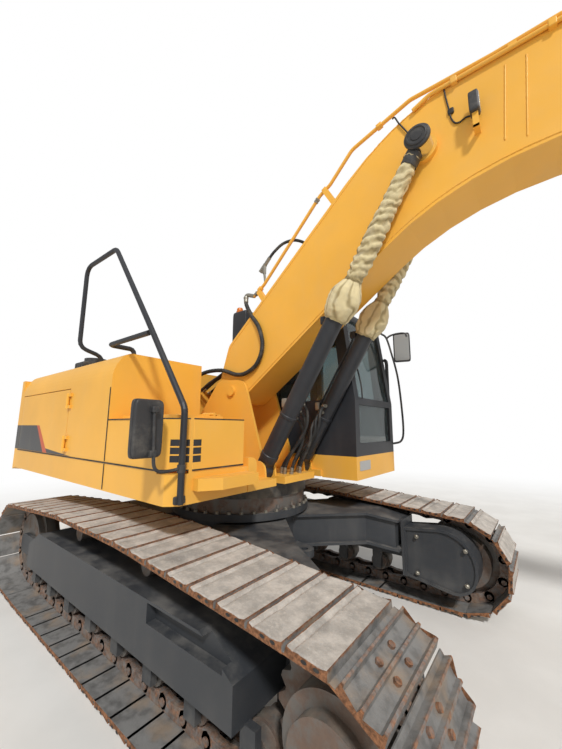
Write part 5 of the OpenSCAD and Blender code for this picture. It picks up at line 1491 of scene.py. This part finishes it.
@dataclass
class HouseTrim:
    """What is fixed to the house: the vented corner panel with painted shade behind its vents, painted shade
    in the seams, mirrors, rail clamp, wiper and cab corner.

    front_x, side_y and inner_y are the low box's walls, corner the cut at its front. mirrors has each head's
    middle, half size and turn in degrees. Tubes and the wiper have rows of x, y and z.
    """

    front_x: float = 0.745
    side_y: float = 1.352
    inner_y: float = 0.745
    corner: float = 0.155
    low_z: float = 1.352
    top_z: float = 1.676
    sheet: float = 0.004
    vent_y: tuple = (-1.300, -1.135)
    vents: tuple = ((1.398, 1.440), (1.449, 1.491), (1.500, 1.542))
    seam_rear_x: float = -2.380
    body_seam_x: float = -0.132
    body_seams: tuple = ((1.155, 1.342), (1.360, 1.930))
    heads: tuple = (((0.722, -1.510, 1.612), (0.024, 0.090, 0.165), 0.0),
                    ((1.215, 1.556, 2.620), (0.024, 0.095, 0.180), 105.0))
    near_tube: tuple = (
        (0.765, -1.305, 1.372), (0.770, -1.360, 1.366), (0.772, -1.440, 1.366), (0.772, -1.478, 1.392),
        (0.766, -1.486, 1.46), (0.762, -1.490, 1.60), (0.760, -1.495, 1.735))
    near_clips: tuple = ((0.755, -1.490, 1.470), (0.755, -1.490, 1.720))
    far_tube: tuple = (
        (0.985, 1.335, 2.830), (1.020, 1.400, 2.795), (1.055, 1.470, 2.748), (1.110, 1.482, 2.530),
        (1.171, 1.482, 2.226), (1.202, 1.482, 1.800), (1.203, 1.480, 1.560), (1.180, 1.450, 1.470),
        (1.135, 1.380, 1.447), (1.112, 1.330, 1.445))
    far_arm: tuple = ((1.055, 1.478, 2.748), (1.100, 1.490, 2.780), (1.180, 1.520, 2.800),
                      (1.260, 1.545, 2.795), (1.285, 1.550, 2.750))
    clamp_at: tuple = (0.763, -1.292, 1.345)
    clamp: tuple = ((0.016, 0), (0.026, 0.001), (0.026, 0.048), (0.016, 0.049))
    rail_foot: tuple = (0.757, -1.292, 1.185)
    rib_x: tuple = (-1.60, -1.54, -1.48, -1.42)
    rib_yz: tuple = (-1.00, 2.285)
    wiper: tuple = ((1.142, 0.505, 1.905), (1.138, 0.490, 2.05), (1.098, 0.480, 2.26))
    cab_corner: tuple = (-0.500, 0.505, 2.860)
    lamp_at: tuple = (-0.555, 0.445, 3.140)
    lamp: tuple = ((0.050, 0), (0.050, 0.02), (0.042, 0.022), (0.042, 0.055), (0.034, 0.070), (0.015, 0.076))
    plate_at: tuple = (1.124, 0.560, 1.262)

    def corner_line(self, out: float, rear_x: float = -0.135) -> np.ndarray:
        """Plan line of the low box from its rear seam round the cut corner to its inner side.

        Args:
            out: how far it stands off the walls.
            rear_x: where it starts.

        Returns:
            Points x, y, from the swing axis.
        """
        c = self.corner + 0.6 * out
        front, outer = self.front_x + out, -self.side_y
        return np.array([(rear_x, outer - out), (self.front_x - c, outer - out), (front, outer + c),
                         (front, -self.inner_y)])

    def ribbon(self, surface: Surface, line: np.ndarray, low: float, top: float, depth: float) -> None:
        """Adds a closed strip: the line at two heights, and the same line moved inwards by depth.

        Args:
            surface: where it goes.
            line: plan points x, y of its outer face.
            low: its lower edge.
            top: its upper edge.
            depth: how thick it is.
        """
        along = unit(np.gradient(line, axis=0))
        inner = line + depth * np.stack([-along[:, 1], along[:, 0]], axis=1)
        edges = [(line, top), (inner, top), (inner, low), (line, low)]
        rows = [np.stack([x[:, 0] + SHIFT, x[:, 1], np.full(len(x), z)], axis=1) for x, z in edges]
        surface.grid(np.stack(rows, axis=1), wrap_v=True, caps=True)

    def panel(self) -> None:
        """Adds the low box's corner panel, in strips that leave three vents, and behind it a black sheet as
        painted shade inside the vents.
        """
        panel = Surface("low_box_corner_panel")
        line = self.corner_line(self.sheet, self.front_x - 0.30)
        edges = [self.low_z, *np.ravel(self.vents), self.top_z]
        for low, top in zip(edges[0::2], edges[1::2]):
            self.ribbon(panel, line, low, top, self.sheet)
        share = (self.vent_y[0] - line[1, 1]) / (line[2, 1] - line[1, 1])
        outer = np.vstack([line[:2], line[1] + share * (line[2] - line[1])])
        inner = np.array([(line[2, 0], self.vent_y[1]), line[3]])
        for low, top in self.vents:
            self.ribbon(panel, outer, low, top, self.sheet)
            self.ribbon(panel, inner, low, top, self.sheet)
        panel.build(YELLOW, Body.HOUSE, Slot.YELLOW)
        # Painted shade: a black sheet behind the vents stands for the shade inside the low box.
        dark = Surface("low_box_vents")
        behind = self.corner_line(0.0012, self.front_x - 0.29)
        self.ribbon(dark, behind, self.low_z + 0.01, self.top_z - 0.01, 0.001)
        dark.build(BLACK, Body.HOUSE, Slot.CHARCOAL)

    def seams(self) -> None:
        """Adds painted shade in the gaps between skirt, low box and body, as thin black strips."""
        gap_shade = Surface("house_seals")
        # Painted shade: black strips stand for the shade in the gaps between the panels.
        self.ribbon(gap_shade, self.corner_line(0.0055, self.seam_rear_x), 1.345, 1.355, 0.004)
        for low, top in self.body_seams:
            centre = side_point(self.body_seam_x, -self.side_y - 0.0015, (low + top) / 2)
            gap_shade.superbox(centre, (0.005, 0.003, (top - low) / 2), 0.2)
        self.ribbon(gap_shade, self.corner_line(0.0055), 1.671, 1.679, 0.004)
        gap_shade.build(RUBBER, Body.HOUSE, Slot.PLASTIC)

    def mirror(self, shell: Surface, glass: Surface, centre: tuple, half: tuple, turn: float) -> None:
        """Adds a mirror head: a rounded shell, a raised rim round its face, and the glass in the rim.

        Args:
            shell: takes shell and rim.
            glass: takes the glass.
            centre: middle of the shell.
            half: half its thickness, width and height.
            turn: degrees that its back is turned from straight ahead.
        """
        place = side_point(*centre)
        deep, wide, high = half
        back = np.array([math.cos(math.radians(turn)), math.sin(math.radians(turn)), 0.0])
        shell.superbox(place, half, 0.22, turn)
        shell.superbox(place - back * deep * 0.55, (deep * 0.6, wide * 1.05, high * 1.03), 0.2, turn)
        glass.superbox(place - back * deep * 1.10, (0.003, wide * 0.90, high * 0.92), 0.15, turn)

    def mirrors(self) -> None:
        """Adds both mirrors on bent tubes, in place of the plain ones."""
        heads = Surface("mirror_heads")
        glass = Surface("mirror_glass")
        for centre, half, turn in self.heads:
            self.mirror(heads, glass, centre, half, turn)
        heads.tube(side_points(self.near_tube), 0.010)
        for clip in self.near_clips:
            heads.superbox(side_point(*clip), (0.022, 0.022, 0.020), 0.4)
        for line in (self.far_tube, self.far_arm):
            heads.tube(side_points(line), 0.012)
        piece = heads.build(PLASTIC, Body.HOUSE, Slot.PLASTIC, smooth=40)
        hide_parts("mirrors")
        glass.build(MIRROR, Body.HOUSE, Slot.GLASS, smooth=35)

    def fixings(self) -> None:
        """Adds the rail's clamp and flared foot, the air intake's ribs and the wiper."""
        fixings = Surface("rail_fixings")
        fixings.lathe(side_point(*self.clamp_at), (0, 0, 1), self.clamp, 20)
        fixings.superbox(side_point(*self.rail_foot), (0.010, 0.040, 0.024))
        for x in self.rib_x:
            fixings.superbox(side_point(x, *self.rib_yz), (0.022, 0.11, 0.055))
        fixings.tube(side_points(self.wiper), 0.008, 5, 8)
        fixings.build(PLASTIC, Body.HOUSE, Slot.PLASTIC, smooth=40)

    def cab_trim(self) -> None:
        """Adds the cab's raised rear corner with its lamp, and the plain plate on its base."""
        corner = Surface("cab_rear_corner")
        corner.superbox(side_point(*self.cab_corner), (0.125, 0.130, 0.285), 0.16)
        corner.build(BLACK, Body.HOUSE, Slot.CAB, smooth=40)
        lens = Surface("cab_beacon")
        lens.lathe(side_point(*self.lamp_at), (0, 0, 1), self.lamp, 24)
        lens.build(AMBER, Body.HOUSE, Slot.AMBER, smooth=50)
        plate = Surface("cab_base_plate")
        plate.superbox(side_point(*self.plate_at), (0.003, 0.120, 0.045), 0.12)
        plate.build(PALE, Body.HOUSE, Slot.CAB, smooth=35)

    def build(self) -> None:
        """Builds all the house's trim."""
        self.panel()
        self.seams()
        self.mirrors()
        self.fixings()
        self.cab_trim()


@dataclass
class FrameBolts:
    """Bolt heads round the slewing ring and on the drive guards."""

    ring_r: float = 0.664
    ring_z: float = 0.900
    ring_count: int = 40
    guard_y: float = 0.776
    guard: tuple = ((1.505, 0.634), (1.903, 0.593), (1.499, 0.323), (1.898, 0.321))
    head: tuple = ((0.012, 0), (0.020, 0.001), (0.020, 0.004), (0.0155, 0.005), (0.0155, 0.018),
                   (0.012, 0.021), (0.003, 0.021))

    def build(self) -> None:
        """Builds hexagon heads with washers, in a ring and four a guard."""
        bolts = Surface("ring_bolts")
        for k in range(self.ring_count):
            t = 2 * math.pi * k / self.ring_count
            place = side_point(self.ring_r * math.cos(t), self.ring_r * math.sin(t), self.ring_z)
            bolts.lathe(place, (0, 0, 1), self.head, 6)
        bolts.build(FITTING, Body.UNDERCARRIAGE, Slot.FRAME)
        covers = Surface("guard_bolts")
        for side in SIDES:
            for end in SIDES:
                for x, z in self.guard:
                    covers.lathe(side_point(end * x, side * self.guard_y, z), (0, -side, 0), self.head, 6)
        covers.build(FITTING, Body.UNDERCARRIAGE, Slot.FRAME)


# Scene


@dataclass
class Studio:
    """Pale floor, soft light and the camera at the photograph's viewpoint.

    eye is measured from the swing axis, and the angles are degrees. The floor turns white to the camera
    between fade_from and fade_to metres away.
    """

    eye: tuple = (2.527, -2.543, 1.622)
    azimuth: float = 128.39
    elevation: float = 9.14
    roll: float = 0.33
    focal_px: float = 328.8
    frame_h_px: int = 749
    sun_power: float = 2.30
    sun_size: float = 0.10
    sun_way: tuple = (-6.2, 6.0, -8.0)
    sky_light: float = 0.50
    floor_half: float = 60.0
    floor_dark: tuple = (0.78, 0.76, 0.72)
    floor_pale: tuple = (0.84, 0.82, 0.78)
    fade_from: float = 4.5
    fade_to: float = 12.0

    def camera(self) -> None:
        """Places the camera: its view direction turns from +X by the azimuth and rises by the elevation."""
        data = bpy.data.cameras.new("camera")
        data.sensor_fit = "VERTICAL"
        data.sensor_height = 36.0
        data.lens = self.focal_px / self.frame_h_px * data.sensor_height
        data.clip_start = 0.05
        camera = bpy.data.objects.new("camera", data)
        az, el = math.radians(self.azimuth), math.radians(self.elevation)
        look = Vector((math.cos(az) * math.cos(el), math.sin(az) * math.cos(el), math.sin(el)))
        turn = look.to_track_quat("-Z", "Y").to_matrix().to_4x4()
        roll = Matrix.Rotation(math.radians(self.roll), 4, "Z")
        camera.matrix_world = Matrix.Translation(side_point(*self.eye)) @ turn @ roll
        bpy.context.scene.collection.objects.link(camera)
        bpy.context.scene.camera = camera

    def light(self) -> None:
        """Adds a broad key light, and an even world that the camera sees as white."""
        sun = bpy.data.lights.new("key", "SUN")
        sun.energy, sun.angle = self.sun_power, self.sun_size
        lamp = bpy.data.objects.new("key", sun)
        lamp.rotation_euler = Vector(self.sun_way).to_track_quat("-Z", "Y").to_euler()
        bpy.context.scene.collection.objects.link(lamp)
        world = bpy.data.worlds.new("world")
        bpy.context.scene.world = world
        world.use_nodes = True
        tree = world.node_tree
        back = tree.nodes["Background"]
        path = tree.nodes.new("ShaderNodeLightPath")
        mix = tree.nodes.new("ShaderNodeMix")
        mix.data_type = "FLOAT"
        mix.inputs[2].default_value = self.sky_light
        mix.inputs[3].default_value = 1.0
        tree.links.new(path.outputs["Is Camera Ray"], mix.inputs[0])
        back.inputs[0].default_value = (1.0, 1.0, 1.0, 1)
        tree.links.new(mix.outputs[0], back.inputs[1])

    def fade(self, g: Graph) -> None:
        """Turns the far floor white to the camera: white light takes over with distance from the machine.

        Args:
            g: the floor's material, with its shader filled.
        """
        tree = g.tree
        away = g.node("VectorMath", "Value", props={"operation": "LENGTH"}, in0=g.place)
        seen = g.times(g.band(away, self.fade_from, self.fade_to), g.node("LightPath", "Is Camera Ray"))
        mix = tree.nodes.new("ShaderNodeMixShader")
        output = next(node for node in tree.nodes if node.type == "OUTPUT_MATERIAL")
        tree.links.new(seen, mix.inputs[0])
        tree.links.new(g.shader.outputs[0], mix.inputs[1])
        tree.links.new(g.node("Emission"), mix.inputs[2])
        tree.links.new(mix.outputs[0], output.inputs["Surface"])

    def floor(self) -> None:
        """Lays a pale floor just under the tracks."""
        mesh = bpy.data.meshes.new("floor")
        r = self.floor_half
        mesh.from_pydata([(-r, -r, 0), (r, -r, 0), (r, r, 0), (-r, r, 0)], [], [(0, 1, 2, 3)])
        g = Graph("pale floor")
        colour = g.mix(g.band(g.noise(1.5, 5), 0.35, 0.7), self.floor_dark, self.floor_pale)
        mesh.materials.append(g.finish(colour, 0.9, bump=g.height(g.noise(60, 3), 0.001, 0.3)))
        self.fade(g)
        floor = bpy.data.objects.new("floor", mesh)
        bpy.context.scene.collection.objects.link(floor)

    def build(self) -> None:
        """Builds the whole studio."""
        self.camera()
        self.light()
        self.floor()
        bpy.context.scene.view_settings.view_transform = "Standard"


def main() -> None:
    """Builds the scene: studio, hoses, finishes of the frame, then each dressed assembly."""
    logging.basicConfig(level=logging.INFO, format="%(message)s")
    Studio().build()
    BoomHoses().build()
    dress_frame()
    for side, clean in ((-1.0, (3, 4)), (1.0, ())):
        Track(side, clean).build()
    for side in SIDES:
        ram = BoomRam(side)
        RamTrim(ram).build()
        wrap = RodWrap(ram)
        wrap.build()
        wrap.strings()
        RamHoses(ram).build()
    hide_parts("rod_wraps")
    BoomTrim().build()
    HouseTrim().build()
    FrameBolts().build()


if __name__ == "__main__":
    main()
